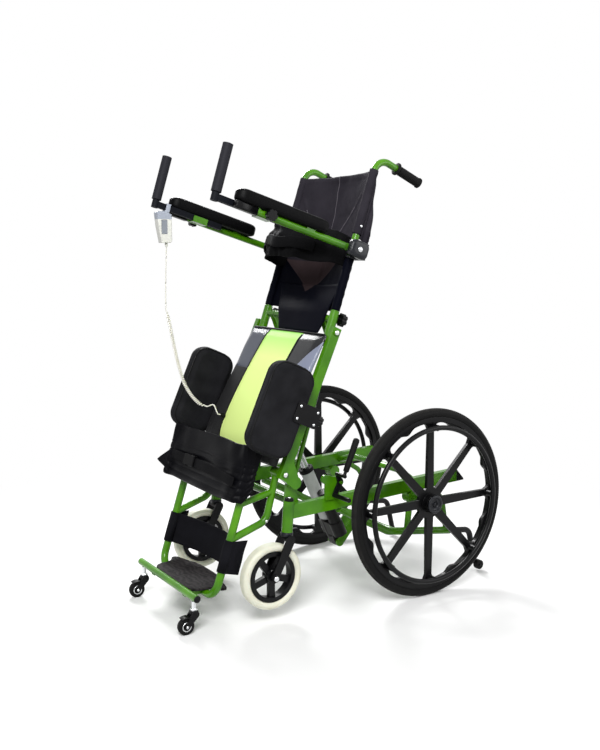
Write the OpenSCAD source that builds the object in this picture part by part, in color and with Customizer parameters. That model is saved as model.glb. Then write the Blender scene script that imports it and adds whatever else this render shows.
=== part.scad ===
// Standing wheelchair, shown raised to the standing position.
// It faces -Y, its left side is +X, and it stands on z = 0 on its drive wheels and footrest casters.
// Places are given as a distance ahead of the drive wheels' axle and a height above the floor.

/* [Drive wheels] */
// Diameter over the tyre
wheel_d = 610; // [560:1:660]
// Thickness of the tyre's section
tyre_d = 34; // [24:1:44]
// Distance between the middles of the two tyres
track = 630.8; // [600:1:700]
// Number of spokes
spoke_n = 8; // [6:1:10]
// Diameter over the hand rim
hand_rim_d = 510; // [440:1:530]
// Thickness of the hand rim's tube
hand_rim_tube_d = 16; // [12:1:22]

/* [Front casters] */
// Diameter of the caster wheel
caster_d = 200; // [150:1:210]
// Width of the caster tyre
caster_tyre_w = 38; // [28:1:42]
// Height of the raised caster wheel's middle
caster_up = 139.5; // [130:0.5:160]
// How far the caster wheel's middle is ahead of the axle
caster_ahead = 538.4; // [520:0.1:560]

/* [Side frames] */
// Distance between the middles of the two side rails
rail_span = 452; // [440:1:470]
// Height of the rail section
rail_h = 42; // [34:1:46]
// Width of the rail section
rail_w = 22; // [18:1:26]
// Diameter of the round frame tubes
frame_tube_d = 25; // [20:1:28]

/* [Seat] */
// Lean of the raised seat from upright, in degrees
seat_lean = 23.9; // [20:0.1:28]
// Width of the seat cushion
cushion_w = 444; // [400:1:444]
// Length of the seat cushion
cushion_l = 433; // [400:1:436]
// Thickness of the cushion at the knee
cushion_t = 70; // [50:1:80]
// Height of the thigh pads above the rails' line
thigh_pad_h = 155; // [120:1:180]

/* [Backrest] */
// Lean of the backrest from upright, in degrees
back_lean = 18.7; // [14:0.1:22]
// Distance between the middles of the two back tubes
back_span = 390; // [370:1:392]
// Diameter of the back tubes
back_tube_d = 22; // [18:1:24]
// Height of the push handles above the backrest hinge
handle_s = 562; // [540:1:620]
// Height of the arm hinge above the backrest hinge
arm_hinge_s = 259; // [230:1:290]

/* [Arms] */
// Rise of the raised arms from level, in degrees
arm_rise = 16.8; // [10:0.1:20]
// Length of the arm pad
arm_pad_l = 321; // [280:1:330]
// Width of the arm pad
arm_pad_w = 60; // [50:1:66]
// Height of the hand grip's post
post_h = 152; // [120:1:180]
// Diameter of the foam hand grip
hand_grip_d = 30; // [26:1:34]

/* [Leg rest] */
// Distance between the middles of the two leg tubes
leg_span = 366; // [340:1:368]
// Diameter of the leg tubes
leg_tube_d = 24; // [20:1:26]
// Diameter of a footrest caster wheel
foot_wheel_d = 50; // [40:1:54]
// Width of the footplate

/* [Handset] */
// Height of the handset
handset_h = 98; // [80:1:110]
// Width of the handset
handset_w = 50; // [40:1:52]

/* [Hidden] */
$fn = 64;

// Colours
paint_green = [0.20, 0.50, 0.06];
moulded_black = [0.05, 0.05, 0.055];
rubber_black = [0.07, 0.07, 0.07];
cloth_black = [0.06, 0.06, 0.065];
cushion_lime = [0.42, 0.72, 0.10];
tyre_cream = [0.88, 0.86, 0.78];
steel_grey = [0.62, 0.63, 0.64];
case_white = [0.93, 0.93, 0.88];

// Clearances and cuts
run_gap = 0.05;     // radial room of a pin that turns
slide_gap = 0.1;    // radial room of a tube that slides
seat_gap = 0.3;     // room between pieces that lie on each other
side_gap = 0.5;     // room beside a piece that turns
cut = 2;            // overrun of a cut

// Pins
pivot_pin_d = 14;
hinge_pin_d = 12;
link_pin_d = 10;

// Footrest casters and the anti-tip wheels, which end the chair's length
foot_wheel_w = 18;
foot_trail = 27;
hood_wall = 3;
bar_ahead = 770;
antitip_ahead = -300;
antitip_wheel_d = 32;
antitip_up = 22.5;
front_reach = bar_ahead + foot_trail + foot_wheel_d/2 + hood_wall + side_gap;
rear_reach = antitip_wheel_d/2 - antitip_ahead;
axle_y = (front_reach - rear_reach)/2;

function at(x, ahead, up) = [x, axle_y - ahead, up];
function turned(p, lean) =
    [p[0], p[1]*cos(lean) + p[2]*sin(lean), p[2]*cos(lean) - p[1]*sin(lean)];

// Seat: its own axes start at the knee joint, run up the rails and point back
knee = at(0, 491, 443);
seat_rail_w = 20;
seat_rail_t = 30;
seat_rail_x = 222;
seat_rail_low = 17;
back_hinge_s = 453;
seat_rail_s = back_hinge_s + seat_rail_t/2;
lift_pivot_back = 48;
lift_pivot_low = 12.5;
lift_pivot = knee + turned([0, lift_pivot_back, -lift_pivot_low], seat_lean);
back_hinge = knee + turned([0, 0, back_hinge_s], seat_lean);
module on_seat() { translate(knee) rotate([-seat_lean, 0, 0]) children(); }
module on_back() { translate(back_hinge) rotate([-back_lean, 0, 0]) children(); }

// Arms: their own axes start at the arm hinge and point along the arm
arm_hinge_fore = 11;
arm_hinge = back_hinge + turned([0, -arm_hinge_fore, arm_hinge_s], back_lean);
module on_arm() { translate(arm_hinge) rotate([-arm_rise, 0, 0]) children(); }

// Leg rest: its own axes start at the knee joint and run up the leg tubes
leg_top = [599.6, 420];
leg_foot = [705, 92];
leg_lean = atan2(leg_foot[0] - leg_top[0], leg_top[1] - leg_foot[1]);
leg_fore = (leg_top[0] - axle_y + knee[1])*cos(leg_lean) + (leg_top[1] - knee[2])*sin(leg_lean);
module on_leg() { translate(knee) rotate([-leg_lean, 0, 0]) children(); }
module right() { mirror([1, 0, 0]) children(); }

// Round and flat stock
module rod(a, b, d) {
    v = b - a;
    translate(a) rotate([0, acos(v[2]/norm(v)), atan2(v[1], v[0])]) cylinder(h = norm(v), d = d);
}
module xrod(p, x0, x1, d) { translate([x0, p[1], p[2]]) rotate([0, 90, 0]) cylinder(h = x1 - x0, d = d); }
function unit(v) = v/norm(v);
function bend_angle(p, i) = acos(unit(p[i] - p[i - 1])*unit(p[i + 1] - p[i]));
function bend_cut(p, i, r) = i == 0 || i == len(p) - 1 ? 0 : r*tan(bend_angle(p, i)/2);
// A tube bent at each inner point of a path, a hair thicker in its bends
bend_swell = 0.3;
bend_in = 1;
module pipe(p, d, r) {
    for (i = [0 : len(p) - 2]) {
        u = unit(p[i + 1] - p[i]);
        rod(p[i] + u*max(0, bend_cut(p, i, r) - bend_in), p[i + 1] - u*max(0, bend_cut(p, i + 1,
            r) - bend_in), d);
    }
    for (i = [1 : len(p) - 2]) {
        u = unit(p[i] - p[i - 1]);
        w = unit(p[i + 1] - p[i]);
        n = unit(w - u*(u*w));
        z = cross(-n, u);
        c = p[i] - u*bend_cut(p, i, r) + n*r;
        multmatrix([[-n[0], u[0], z[0], c[0]], [-n[1], u[1], z[1], c[1]],
            [-n[2], u[2], z[2], c[2]], [0, 0, 0, 1]])
            rotate_extrude(angle = bend_angle(p, i)) translate([r, 0]) circle(d = d + bend_swell);
    }
}
// A plate across the chair's width whose outline is drawn as back and up
module plate(x0, x1) {
    translate([x0, 0, 0]) rotate([90, 0, 90]) linear_extrude(height = x1 - x0) children();
}
module slab(w, h, r) {
    square([w - 2*r, h], center = true);
    square([w, h - 2*r], center = true);
    for (x = [-1, 1], y = [-1, 1]) translate([x*(w/2 - r), y*(h/2 - r)]) circle(r = r);
}
// A flat arm with two round ends, a hair slimmer than its ends
neck_share = 0.96;
module arm2d(a, b, ra, rb) {
    u = unit(b - a);
    n = [-u[1], u[0]];
    polygon([a + n*ra*neck_share, b + n*rb*neck_share, b - n*rb*neck_share, a - n*ra*neck_share]);
    translate(a) circle(r = ra);
    translate(b) circle(r = rb);
}
function flat(p) = [p[1], p[2]];
// A closed skin over rings that have the same number of points
module loft(rings) {
    n = len(rings[0]);
    m = len(rings);
    pts = [for (g = rings) for (p = g) p];
    sides = [for (i = [0 : m - 2], j = [0 : n - 1]) let (k = (j + 1) % n)
        each [[i*n + j, i*n + k, i*n + n + k], [i*n + j, i*n + n + k, i*n + n + j]]];
    ends = [for (j = [1 : n - 2]) each [[0, j + 1, j], [(m - 1)*n, (m - 1)*n + j, (m - 1)*n + j + 1]]];
    polyhedron(points = pts, faces = concat(sides, ends));
}

// Drive wheels
hub_d = 62;
hub_in = 16;
hub_out = 30;
cap_d = 48;
axle_d = 20;
rim_w = 28;
rim_depth = 9;
rim_lip = 2;
spoke_root_w = 30;
spoke_tip_w = 21;
spoke_t = 12;
corner_r = 24;
corner_share = 0.7;
wave_h = 14;
wave_angle = 5;
window_n = 28;
window_low = 50;
rim_boss_d = 20;
rim_stand_off = 36;
wheel_x = track/2;
wheel_r = wheel_d/2;
tyre_r = wheel_r - tyre_d/2;
rim_seat_r = tyre_r - tyre_d/4;
rim_in_r = tyre_r - tyre_d/2 - rim_depth;
hand_rim_r = hand_rim_d/2 - hand_rim_tube_d/2;
module wheel_axes() { translate(at(wheel_x, 0, wheel_r)) rotate([0, 90, 0]) children(); }
module rear_tyre() {
    color(rubber_black) wheel_axes() rotate_extrude() translate([tyre_r, 0]) circle(d = tyre_d);
}
// A window between two spokes: straight sides, round outer corners and a wave in the rim's edge
function spoke_half(r) = (spoke_root_w + (spoke_tip_w - spoke_root_w)*r/rim_in_r)/2;
function side_angle(r) = 180/spoke_n - asin(spoke_half(r)/r);
function window_edge(b, wide) = rim_in_r - rim_lip - wave_h*exp(-pow(b/wave_angle, 2))
    - corner_r*(1 - sqrt(1 - pow(max(0, (abs(b) - wide)/(side_angle(rim_in_r - corner_r) - wide)), 2)));
module window() {
    end = side_angle(rim_in_r - corner_r - rim_lip);
    wide = end*corner_share;
    low = window_low;
    high = rim_in_r - corner_r - rim_lip;
    edge = [for (k = [1 : window_n - 1]) let (b = end*(2*k/window_n - 1)) window_edge(b, wide)*[cos(b),
        sin(b)]];
    polygon(concat([for (r = [low, (low + high)/2, high]) r*[cos(-side_angle(r)), sin(-side_angle(r))]], edge,
        [for (r = [high, (low + high)/2, low]) r*[cos(side_angle(r)), sin(side_angle(r))]]));
}
module rear_rim() {
    color(moulded_black) wheel_axes() difference() {
        union() {
            difference() {
                rotate_extrude() translate([rim_in_r, -rim_w/2]) square([rim_seat_r - rim_in_r + tyre_d/4,
                    rim_w]);
                rotate_extrude() translate([tyre_r, 0]) circle(r = tyre_d/2 + slide_gap);
            }
            translate([0, 0, -spoke_t/2]) linear_extrude(height = spoke_t) difference() {
                circle(r = rim_in_r + rim_depth/2);
                for (i = [0 : spoke_n - 1]) rotate((i + 1/2)*360/spoke_n) window();
            }
            for (i = [0 : spoke_n - 1]) rotate(i*360/spoke_n)
                translate([hand_rim_r, 0, 0]) cylinder(h = rim_stand_off, d = rim_boss_d);
            translate([0, 0, -hub_in]) cylinder(h = hub_in + hub_out - hood_wall, d = hub_d);
            cylinder(h = hub_out, d = cap_d);
            translate([0, 0, rim_stand_off]) rotate_extrude() translate([hand_rim_r, 0])
                circle(d = hand_rim_tube_d);
        }
        translate([0, 0, -hub_in - cut]) cylinder(h = hub_in + hub_out - hood_wall + cut,
            d = axle_d + 2*run_gap);
    }
}

// Side frames: a flat rail on a bent lower tube, with the caster's head tube and the lift pivot's plate
rail_x = rail_span/2;
rail_up = 346.3;
rail_slope = 2.37;
rail_front = 477;
rail_rear = 190;
rail_wall = 2;
head_d = 34;
head_rise = 13.7;
head_drop = 80.3;
head_top = at(rail_x, 474, rail_up + head_rise);
head_low = at(rail_x, 481, rail_up - head_drop);
stem_d = 20;
lower_drop = 37.3;
lower_route = [at(rail_x, 292, rail_up - lower_drop), at(rail_x, 94, 203), at(rail_x, -171, 163)];
lower_bend = 60;
tube_sink = 11.3;
post_top = at(rail_x, 0, rail_up - tube_sink);
post_low = at(rail_x, 15, 196);
stay_d = 18;
stay_route = [at(rail_x, -55, rail_up - tube_sink), at(rail_x, -135, 285), at(rail_x, -156, 168)];
axle_boss_d = 40;
tower_t = 12;
tower_r = 18;
tower_foot = 24;
tower_x = 196;
brake_rise = 51.7;
brake_pivot = at(0, 300, rail_up + brake_rise);
brake_plate_t = 6;
brake_plate_fore = 66;
brake_plate_r = 14;
brake_pin_d = 10;
brake_pin_l = 12;
module on_rail() { translate(at(rail_x, 0, rail_up)) rotate([rail_slope, 0, 0]) children(); }
module side_frame() {
    foot_up = rail_up - (axle_y - lift_pivot[1])*tan(rail_slope);
    out_x = rail_x + rail_w/2;
    color(paint_green) difference() {
        union() {
            on_rail() translate([-rail_w/2, -rail_front, -rail_h/2]) cube([rail_w, rail_front + rail_rear,
                rail_h]);
            rod(head_low, head_top, head_d);
            pipe(lower_route, frame_tube_d, lower_bend);
            rod(post_top, post_low, frame_tube_d - 2*rail_wall);
            pipe(stay_route, stay_d, lower_bend);
            xrod(at(0, 0, wheel_r), rail_x - rail_w, out_x + rail_wall, axle_boss_d);
            xrod(at(0, 0, wheel_r), rail_x, wheel_x + hub_out - hood_wall - side_gap, axle_d);
            plate(tower_x, tower_x + tower_t) {
                translate(flat(lift_pivot)) circle(r = tower_r);
                polygon([[lift_pivot[1] - tower_r*neck_share, lift_pivot[2]],
                    [lift_pivot[1] + tower_r*neck_share, lift_pivot[2]],
                    [lift_pivot[1] + tower_foot, foot_up], [lift_pivot[1] - tower_foot, foot_up]]);
            }
            translate([tower_x, lift_pivot[1] - tower_foot, foot_up - tower_t/2])
                cube([rail_x - tower_x, 2*tower_foot, tower_t]);
            plate(out_x - rail_wall, out_x + brake_plate_t) {
                arm2d(flat(brake_pivot), flat(brake_pivot) + [-brake_plate_fore + brake_plate_r,
                    brake_plate_r],
                    brake_plate_r, brake_plate_r);
                translate(flat(brake_pivot) + [brake_plate_r - brake_plate_fore, rail_up - brake_pivot[2]])
                    square([brake_plate_fore - brake_plate_r, brake_pivot[2] - rail_up + brake_plate_r/2]);
            }
            xrod(brake_pivot, out_x + rail_wall, out_x + brake_plate_t + brake_pin_l, brake_pin_d);
        }
        rod(head_low + (head_low - head_top), head_top + (head_top - head_low), stem_d + 2*run_gap);
        xrod(lift_pivot, tower_x - cut, tower_x + tower_t + cut, pivot_pin_d + 2*run_gap);
    }
}
cap_l = 31;
cap_lip = 5;
module rail_end_caps() {
    color(moulded_black) for (m = [0, 1]) mirror([m, 0, 0]) on_rail() translate([0, rail_rear, 0])
        plate(-rail_w/2, rail_w/2)
            polygon([[0, -rail_h/2], [cap_l, -rail_h/2], [cap_l, cap_lip - rail_h/2], [0, rail_h/2]]);
}

// Cross tubes: the front one carries the backrest links, the lower one the lift's foot
front_tube_drop = 16.3;
front_tube = at(0, 412, rail_up - front_tube_drop);
link_offset = [0, 40, -30];
link_foot = lift_pivot + link_offset;
link_x = 148;
link_eye_w = 10;
link_eye_r = 11;
ear_t = 6;
arch_ahead = -30;
arch_up = 371;
arch_flat = 130;
arch_rise = 0.7;
arch_low = rail_up + arch_rise;
arch_bend = 60;
low_tube_ahead = 70;
low_tube_d = 22;
low_tube = at(0, low_tube_ahead, 199.4);
lift_foot = at(0, 139.3, 122.5);
lift_foot_r = 16;
lift_eye_w = 38;
module ears(x, w, t, from, to, ra, rb, d) {
    for (s = [-1, 1]) plate(x + s*(w + t)/2 - t/2, x + s*(w + t)/2 + t/2) arm2d(flat(from), flat(to), ra, rb);
    xrod(to, x - w/2 - t, x + w/2 + t, d);
}
module cross_tubes() {
    in_x = rail_x - rail_w/2;
    low_x = rail_x - frame_tube_d/2 - slide_gap;
    color(paint_green) {
        xrod(front_tube, -in_x, in_x, frame_tube_d);
        for (s = [-1, 1])
            ears(s*link_x, link_eye_w + 2*side_gap, ear_t, front_tube, link_foot, link_eye_r, link_eye_r,
                link_pin_d);
        intersection() {
            pipe([at(-rail_x, arch_ahead, arch_low - ear_t), at(-arch_flat, arch_ahead, arch_up),
                at(arch_flat, arch_ahead, arch_up), at(rail_x, arch_ahead, arch_low - ear_t)], low_tube_d,
                    arch_bend);
            translate(at(-in_x, arch_ahead, 0) - [0, arch_flat, 0]) cube([2*in_x, 2*arch_flat, wheel_d]);
        }
        xrod(low_tube, -low_x, low_x, low_tube_d);
        ears(0, lift_eye_w + 2*side_gap, ear_t, low_tube, lift_foot, lift_foot_r, lift_foot_r, pivot_pin_d);
    }
}

// Anti-tip tubes push into the lower tubes' ends and carry a small wheel each
antitip_d = 20;
antitip_bend = 30;
antitip_elbow = [-262, 150];
antitip_foot = [-290, 40];
antitip_plate_t = 8;
antitip_pin_d = 8;
antitip_wheel_w = 16;
module antitip_tubes() {
    start = lower_route[2] + unit(lower_route[2] - lower_route[1])*seat_gap;
    wheel_at = at(0, antitip_ahead, antitip_up);
    color(moulded_black) for (m = [0, 1]) mirror([m, 0, 0]) {
        pipe([start, at(rail_x, antitip_elbow[0], antitip_elbow[1]), at(rail_x, antitip_foot[0],
            antitip_foot[1])],
            antitip_d, antitip_bend);
        plate(rail_x - antitip_plate_t/2, rail_x + antitip_plate_t/2)
            arm2d(flat(at(0, antitip_foot[0], antitip_foot[1])), flat(wheel_at), antitip_d/2,
                antitip_plate_t);
        xrod(wheel_at, rail_x, rail_x + antitip_plate_t + antitip_wheel_w, antitip_pin_d);
    }
}
module antitip_wheels() {
    x0 = rail_x + antitip_plate_t/2 + side_gap;
    color(rubber_black) for (m = [0, 1]) mirror([m, 0, 0]) difference() {
        xrod(at(0, antitip_ahead, antitip_up), x0, x0 + antitip_wheel_w, antitip_wheel_d);
        xrod(at(0, antitip_ahead, antitip_up), x0 - cut, x0 + antitip_wheel_w + cut,
            antitip_pin_d + 2*run_gap);
    }
}

// Wheel locks: a lever on the side plate, its handle stood off beyond the pad, its shoe ahead of the tyre
lever_t = 6;
lever_knee = brake_pivot + [0, -12, 27];
lever_handle_x = 283;
lever_handle_top = brake_pivot + [lever_handle_x, 31, 128];
lever_grip_low = brake_pivot + [lever_handle_x, 4, 64];
lever_rod_d = 12;
lever_grip_d = 17;
shoe_at = brake_pivot + [0, -22, -38];
shoe_d = 14;
module brake_lever() {
    x0 = rail_x + rail_w/2 + brake_plate_t + seat_gap;
    color(moulded_black) difference() {
        union() {
            plate(x0, x0 + lever_t) {
                arm2d(flat(brake_pivot), flat(lever_knee), brake_pin_d, lever_rod_d/2);
                arm2d(flat(brake_pivot), flat(shoe_at), brake_pin_d, shoe_d/2);
            }
            xrod(lever_knee, x0, lever_handle_x + lever_rod_d/2, lever_rod_d);
            rod([lever_handle_x, lever_knee[1], lever_knee[2]], lever_handle_top, lever_rod_d - cut);
            rod(lever_grip_low, lever_handle_top, lever_grip_d);
            rod(lever_grip_low, lever_handle_top + unit(lever_handle_top - lever_grip_low)*lever_t,
                lever_rod_d);
            xrod(shoe_at, x0, wheel_x + tyre_d/4, shoe_d);
        }
        xrod(brake_pivot, x0 - cut, x0 + lever_t + cut, brake_pin_d + 2*run_gap);
    }
}

// Front casters
caster_rim_r = 76.4;
caster_spokes = 5;
caster_hub_d = 42;
caster_ring_t = 13;
caster_rim_w = 30;
caster_spoke_w = 20;
caster_bolt_d = 12;
caster_head_d = 22;
fork_t = 6;
fork_top_r = 20;
fork_tip_r = 17;
crown_t = 12;
crown_drop = 20;
nut_t = 9;
nut_d = 28;
caster_hub = at(rail_x, caster_ahead, caster_up);
fork_in = caster_tyre_w/2 + 4*side_gap;
module caster_axes() { translate(caster_hub) rotate([0, 90, 0]) children(); }
module caster_tyre() {
    w = caster_d/2 - caster_rim_r - slide_gap;
    color(tyre_cream) caster_axes() rotate_extrude()
        translate([caster_d/2 - w/2, 0]) slab(w, caster_tyre_w, w/2 - run_gap);
}
module caster_rim() {
    color(moulded_black) caster_axes() difference() {
        union() {
            rotate_extrude() translate([caster_rim_r - caster_ring_t, -caster_rim_w/2])
                square([caster_ring_t, caster_rim_w]);
            translate([0, 0, -caster_rim_w/2 - side_gap]) cylinder(h = caster_rim_w + 2*side_gap,
                d = caster_hub_d);
            for (i = [0 : caster_spokes - 1]) rotate(i*360/caster_spokes)
                translate([0, -caster_spoke_w/2, -caster_rim_w/4])
                    cube([caster_rim_r - caster_ring_t/2, caster_spoke_w, caster_rim_w/2]);
        }
        translate([0, 0, -caster_rim_w]) cylinder(h = 2*caster_rim_w, d = caster_bolt_d + 2*run_gap);
    }
}
module caster_fork() {
    stem = unit(head_top - head_low);
    crown = head_low - stem*crown_drop;
    color(moulded_black) {
        rod(crown, head_top + stem*nut_t/2, stem_d);
        rod(head_top + stem*seat_gap, head_top + stem*nut_t, nut_d);
        translate([rail_x - fork_in - fork_t, crown[1] - fork_top_r, crown[2] - crown_t/2])
            cube([2*(fork_in + fork_t), 2*fork_top_r, crown_t]);
        for (s = [-1, 1]) plate(rail_x + s*(fork_in + fork_t/2) - fork_t/2,
            rail_x + s*(fork_in + fork_t/2) + fork_t/2)
            arm2d(flat(crown), flat(caster_hub), fork_top_r, fork_tip_r);
        xrod(caster_hub, rail_x - fork_in - 2*fork_t, rail_x + fork_in + 2*fork_t, caster_bolt_d);
        for (s = [-1, 1]) xrod(caster_hub, rail_x + s*(fork_in + 1.5*fork_t) - fork_t/2,
            rail_x + s*(fork_in + 1.5*fork_t) + fork_t/2, caster_head_d);
    }
}

// Seat frame: two flat rails with lugs for the lift pivot and pins for the leg rest and backrest
lug_r = 19;
lug_h = 60;
leg_pin_in = 14;
back_pin_in = 30;
bolt_head_d = 20;
bolt_head_t = 4;
module seat_rail() {
    in_x = seat_rail_x - seat_rail_w/2;
    out_x = seat_rail_x + seat_rail_w/2;
    pivot = [0, lift_pivot_back, -lift_pivot_low];
    on_seat() {
        translate([in_x, -seat_rail_t/2, -seat_rail_low]) cube([seat_rail_w, seat_rail_t,
            seat_rail_s + seat_rail_low]);
        plate(in_x, out_x) {
            translate(flat(pivot)) circle(r = lug_r);
            polygon([[0, -seat_rail_low], [pivot[1], pivot[2] - lug_r], [pivot[1] + lug_r, pivot[2]], [0,
                lug_h]]);
        }
        xrod(pivot, tower_x, out_x, pivot_pin_d);
        xrod([0, 0, 0], leg_span/2 - leg_pin_in, out_x, pivot_pin_d);
        xrod([0, 0, back_hinge_s], back_span/2 - back_pin_in/2, out_x, hinge_pin_d);
        for (p = [[0, 0, 0], [0, 0, back_hinge_s]]) xrod(p, out_x, out_x + bolt_head_t, bolt_head_d);
    }
}
module seat_rails() { color(paint_green) for (m = [0, 1]) mirror([m, 0, 0]) seat_rail(); }

seat_tube_d = 22;
seat_tube_s = [62, 245, 417];
lift_head = [0, 26, 217.5];
lift_head_r = 13;
lift_head_w = 30;
module seat_cross_tubes() {
    in_x = seat_rail_x - seat_rail_w/2;
    head_r = lift_head_r - side_gap;
    color(paint_green) on_seat() {
        for (s = seat_tube_s) xrod([0, 0, s], -in_x, in_x, seat_tube_d);
        for (s = [-1, 1]) {
            x0 = s*(lift_head_w/2 + side_gap + ear_t/2);
            plate(x0 - ear_t/2, x0 + ear_t/2) arm2d([0, seat_tube_s[1]], flat(lift_head), head_r, head_r);
            xrod(lift_head, x0 + s*ear_t - ear_t/2, x0 + s*ear_t + ear_t/2, pivot_pin_d);
        }
    }
}

// Seat cushion: thickest at the knee, thin at the back, crowned, with drawn-in sides and welted seams
cushion_low = 8;
cushion_thin = 10;
cushion_rows = 20;
cushion_cols = 28;
cushion_power = 0.42;
cushion_draw = 7;
stripe_w = 196;
channel_deep = 3;
channel_w = 9;
function signed_power(v, e) = sign(v)*pow(abs(v), e);
function cushion_t_at(t) = (cushion_thin + (cushion_t - cushion_thin)*pow(1 - t, 0.8))
    *pow(sin(180*min(1, max(0, 0.03 + 0.94*t))), 0.22);
function seam_dip(x) = channel_deep*exp(-pow((abs(x) - stripe_w/2)/channel_w, 2));
function cushion_ring(t) = let (h = cushion_t_at(t), w = cushion_w/2 - cushion_draw*sin(180*t))
    [for (j = [0 : cushion_cols - 1]) let (a = 360*j/cushion_cols, x = w*signed_power(cos(a), cushion_power),
        n = h/2 + h/2*signed_power(sin(a), cushion_power) - (sin(a) > 0 ? seam_dip(x)*min(1,
            h/cushion_t) : 0))
        [x, -seat_rail_t/2 - seat_gap - n, cushion_low + t*cushion_l]];
module seat_cushion() {
    color(cushion_lime) on_seat() loft([for (i = [0 : cushion_rows]) cushion_ring(i/cushion_rows)]);
}

// Control box with the battery, hung behind the cushion on the upper two cross tubes
box_w = 90;
box_t = 36;
box_l = 190;
box_r = 8;
box_x = -92;
box_lid_t = 5;
box_lid_in = 6;
module control_box() {
    mid = (seat_tube_s[1] + seat_tube_s[2])/2;
    color(moulded_black) on_seat() translate([box_x, seat_tube_d/2 + seat_gap, mid]) rotate([-90, 0, 0]) {
        linear_extrude(height = box_t) slab(box_w, box_l, box_r);
        translate([0, 0, box_t]) linear_extrude(height = box_lid_t) slab(box_w - 2*box_lid_in,
            box_l - 2*box_lid_in, box_r);
    }
}

// Gland where the handset's lead enters the cushion's seam
gland_x = -98;
gland_s = 110;
gland_d = 12;
gland_flange_d = 18;
gland_sunk = 22;
gland_proud = 8;
gland_n = 82;
module cord_gland() {
    color(moulded_black) on_seat() translate([gland_x, -gland_n, gland_s]) rotate([90, 0, 0]) {
        translate([0, 0, -gland_sunk]) cylinder(h = gland_sunk + gland_proud, d = gland_d);
        translate([0, 0, -box_lid_t]) cylinder(h = box_lid_t, d = gland_flange_d);
    }
}

// Thigh pads on clamps that slide on the rails
pad_in_x = 224.5;
pad_t = 41;
pad_low = 33;
pad_l = 279;
pad_near = 29;
pad_rows = 12;
pad_cols = 24;
clamp_plate_t = 4;
clamp_low = 154;
clamp_l = 62;
clamp_far = 66;
clamp_r = 10;
clamp_jaw_t = 7;
knob_d = 30;
knob_t = 20;
knob_stem_d = 10;
knob_lobes = 6;
module star_knob(d, t, stem_l) {
    difference() {
        cylinder(h = t, d = d);
        for (i = [0 : knob_lobes - 1]) rotate(i*360/knob_lobes) translate([d*0.58, 0, -cut])
            cylinder(h = t + 2*cut, d = d/3);
    }
    translate([0, 0, -stem_l]) cylinder(h = stem_l + t/2, d = knob_stem_d);
}
// Half the pad's outline at a share of its thickness, fuller in the middle
function pad_ring(t) = let (f = 1 - 0.09*pow(abs(2*t - 1), 3.2), rl = pad_l/2*f, rh = thigh_pad_h/2*f)
    [for (j = [0 : pad_cols - 1]) let (a = 360*j/pad_cols)
        [pad_in_x + t*pad_t, -pad_near - thigh_pad_h/2 - rh*signed_power(cos(a), 0.55),
            pad_low + pad_l/2 + rl*signed_power(sin(a), 0.55)]];
module thigh_pad() {
    color(cloth_black) on_seat() loft([for (i = [0 : pad_rows/2]) pad_ring(i/(pad_rows/2))]);
}
module thigh_bracket() {
    out_x = pad_in_x + pad_t + seat_gap;
    rail_out = seat_rail_x + seat_rail_w/2 + seat_gap;
    rail_back = seat_rail_t/2 + seat_gap;
    color(moulded_black) on_seat() {
        translate([0, 0, clamp_low]) plate(out_x, out_x + clamp_plate_t)
            translate([(rail_back + clamp_jaw_t - clamp_far)/2, clamp_l/2])
                slab(clamp_far + rail_back + clamp_jaw_t, clamp_l, clamp_r);
        translate([rail_out, -rail_back, clamp_low + clamp_r]) cube([out_x - rail_out,
            2*rail_back + clamp_jaw_t - seat_gap, clamp_l - 2*clamp_r]);
        translate([seat_rail_x - seat_rail_w/2, rail_back, clamp_low + clamp_r])
            cube([out_x - seat_rail_x + seat_rail_w/2, clamp_jaw_t, clamp_l - 2*clamp_r]);
    }
}
module thigh_knob() {
    rail_back = seat_rail_t/2 + seat_gap + clamp_jaw_t;
    color(moulded_black) on_seat()
        translate([(pad_in_x + pad_t + seat_rail_x)/2, rail_back + ear_t, clamp_low + clamp_l/2])
            rotate([-90, 0, 0])
            star_knob(knob_d, knob_t, ear_t - seat_gap);
}

// Backrest base: two sleeves on the seat rails' pins, a cross tube and the ears of the links
sleeve_d = 28;
sleeve_low = 18;
sleeve_top = 66;
sleeve_plug = 16;
base_tube_d = 20;
base_tube_s = 42;
height_knob_s = 47;
height_knob_d = 40;
height_knob_t = 17;
height_stem = 10;
back_x = back_span/2;
link_head = turned(link_offset, -back_lean);
module back_sleeves() {
    color(paint_green) on_back() {
        for (s = [-1, 1]) translate([s*back_x, 0, 0]) difference() {
            translate([0, 0, -sleeve_low]) cylinder(h = sleeve_low + sleeve_top, d = sleeve_d);
            translate([0, 0, sleeve_plug]) cylinder(h = sleeve_top, d = back_tube_d + 2*slide_gap);
            xrod([0, 0, 0], -sleeve_d, sleeve_d, hinge_pin_d + 2*run_gap);
        }
        xrod([0, 0, base_tube_s], -back_x + sleeve_d/2 + slide_gap, back_x - sleeve_d/2 - slide_gap,
            base_tube_d);
        for (s = [-1, 1]) ears(s*link_x, link_eye_w + 2*side_gap, ear_t, [0, 0, base_tube_s], link_head,
            link_eye_r, link_eye_r, link_pin_d);
    }
}
module height_knob() {
    color(moulded_black) on_back() translate([back_x, sleeve_d/2 + height_stem, height_knob_s])
        rotate([-90, 0, 0])
        star_knob(height_knob_d, height_knob_t, height_stem - seat_gap);
}
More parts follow.
